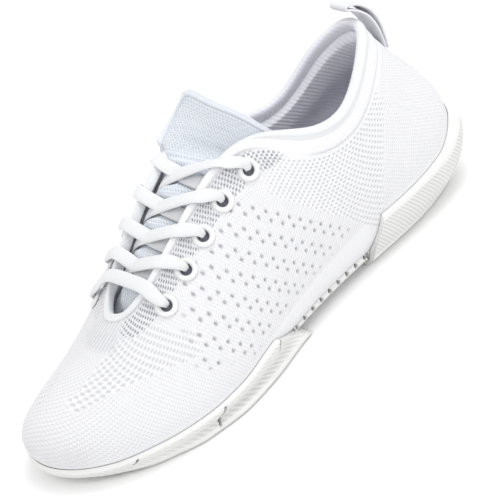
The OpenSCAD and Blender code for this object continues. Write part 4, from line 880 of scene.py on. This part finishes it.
# ---------------------------------------------------------------- pull loop
def build_loop():
    """Webbing folded double. Both legs are sewn to the back of the heel and the fold leans forward over the rim."""
    outer = [[112.5, 74.0], [112.8, 78], [112.9, 84], [112.0, 90], [109.6, 95.6], [105.2, 100.6], [99.8, 103.6], [97.6, 103.9]]
    inner = [[97.1, 103.0], [97.6, 102.0], [99.4, 101.3], [103.9, 98.0], [107.6, 93.6], [109.6, 89], [110.7, 84], [111.1, 78], [111.0, 74.0]]
    c = np.array(outer+inner, float)
    c = catmull(c, 14); s = arclen(c); n = int(s[-1]/0.45); q = np.linspace(0, s[-1], n); c = np.stack([np.interp(q, s, c[:, j]) for j in range(2)], 1)
    t = unit(np.gradient(c, axis=0)); nn = np.stack([t[:, 1], -t[:, 0]], 1)
    wl, th = 11.0, 1.35; k = 30; m2 = 24
    x = np.linspace(-wl/2, wl/2, m2); rows = []
    ring = []
    for xx in x: ring.append((xx, 0.5*th*(1-0.35*abs(xx/(wl/2))**6)))
    for xx in x[::-1]: ring.append((xx, -0.5*th*(1-0.35*abs(xx/(wl/2))**6)))
    ring = np.array(ring); m = len(ring)
    tw = 0.09*np.sin((q[:, None]+ring[None, :, 0])*2*np.pi/1.3)*np.sign(ring[None, :, 1])*(np.abs(ring[None, :, 0]) < 5.0)
    P = np.zeros((n, m, 3)); P[..., 0] = ring[None, :, 0]
    P[..., 1] = c[:, None, 0]+nn[:, None, 0]*(ring[None, :, 1]+tw); P[..., 2] = c[:, None, 1]+nn[:, None, 1]*(ring[None, :, 1]+tw)
    uv = np.stack([np.repeat(ring[None, :, 0], n, 0), np.repeat(q[:, None], m, 1)], -1)
    o = make("pull_loop_webbing", P, grid_faces(n, m, False, True), M_TAPE, None, uv, {"hollow_shade": np.zeros((n, m))},
             extra=[list(range(m))[::-1], list(range((n-1)*m, n*m))])
    bm = bmesh.new(); bm.from_mesh(o.data); bmesh.ops.recalc_face_normals(bm, faces=bm.faces); bm.to_mesh(o.data); bm.free()
    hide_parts("pull_loop", "pull_loop_base")
    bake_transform(o)
    # box of stitching where the legs are sewn down
    z0, z1, w = 75.4, 82.4, 4.3; box = []
    for a, b in (((-w, z0), (w, z0)), ((w, z0), (w, z1)), ((w, z1), (-w, z1)), ((-w, z1), (-w, z0))):
        for f in np.linspace(0, 1, 30, endpoint=False): box.append((a[0]+(b[0]-a[0])*f, a[1]+(b[1]-a[1])*f))
    box = np.array(box); yy = np.interp(box[:, 1], [74, 78, 84], [112.5, 112.8, 112.9])+0.62
    pts = np.stack([box[:, 0], yy, box[:, 1]], 1); nr = np.tile([0, 1.0, 0.05], (len(pts), 1))
    stitches("pull_loop_stitching", pts, nr, "shoe", 1.7, 0.8, 0.26)


# ---------------------------------------------------------------- build
build_upper(); build_lining(); build_rim(); build_stitches(); build_eyelets()
sole_f = build_sole("outsole_forefoot", (None, None), ((0, -23, 18), tuple(unit(np.array([0, 17.5, 24.5])))), 0.34, "fore", ["outsole_toe", "outsole_ball"])
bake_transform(sole_f)
sole_h = build_sole("outsole_heel_cup", ((0, 49, 2.6), tuple(unit(np.array([0, -23.4, 11.0])))), (None, None), 0.34, "heel", ["outsole_heel"])
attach(sole_h, "shoe")
build_strip(); build_insole(); build_tongue(); LACE_LEN = build_lace(); build_loop()

for nm, mt in (("midsole_toe", M_EVA), ("midsole_ball", M_EVA), ("midsole_heel", M_EVA), ("lasting_board_toe", M_STIFF), ("lasting_board_rear", M_STIFF),
               ("toe_puff", M_STIFF), ("heel_counter", M_STIFF), ("collar_foam", M_EVA), ("eyestay_lateral", M_STIFF), ("eyestay_medial", M_STIFF)):
    o = NODES[nm]; o.data.materials.clear(); o.data.materials.append(mt)

# ---------------------------------------------------------------- floor, light
fm, nt, b = nodes_of("floor_pale", 0.75, 0.1)
n1 = nd(nt, "ShaderNodeTexNoise", i_Scale=3.0, i_Detail=2.0); col = mixc(nt, n1.outputs["Fac"], (0.93, 0.93, 0.93), (0.95, 0.95, 0.95)); nt.links.new(col, b.inputs["Base Color"])
bm = bmesh.new(); bmesh.ops.create_grid(bm, x_segments=4, y_segments=4, size=4.0); fme = bpy.data.meshes.new("floor"); bm.to_mesh(fme); bm.free()
fl = bpy.data.objects.new("floor", fme); fl.location = (0, 0, -0.0004); fme.materials.append(fm); bpy.context.scene.collection.objects.link(fl)

w = bpy.data.worlds.new("studio"); bpy.context.scene.world = w; w.use_nodes = True
w.node_tree.nodes["Background"].inputs[0].default_value = (1, 1, 1, 1); w.node_tree.nodes["Background"].inputs[1].default_value = 0.84


def area(name, loc, target, size, power, col=(1, 1, 1)):
    l = bpy.data.lights.new(name, "AREA"); l.shape = "DISK"; l.size = size; l.energy = power; l.color = col
    o = bpy.data.objects.new(name, l); bpy.context.scene.collection.objects.link(o); o.location = loc
    d = Vector(target)-Vector(loc); o.rotation_euler = d.to_track_quat("-Z", "Y").to_euler(); return o


area("key", (0.35, -0.75, 1.25), (0, 0, 0.04), 0.9, 4.1)
area("top", (0.15, 0.45, 1.3), (0, 0.06, 0.05), 0.7, 5.6)
area("side", (1.05, 0.4, 0.7), (0, 0.03, 0.05), 0.8, 2.2)
sc = bpy.context.scene
sc.view_settings.view_transform = "Standard"; sc.view_settings.look = "None"; sc.view_settings.exposure = 0.0; sc.view_settings.gamma = 1.0

print("lace route mm", round(float(LACE_LEN), 1))
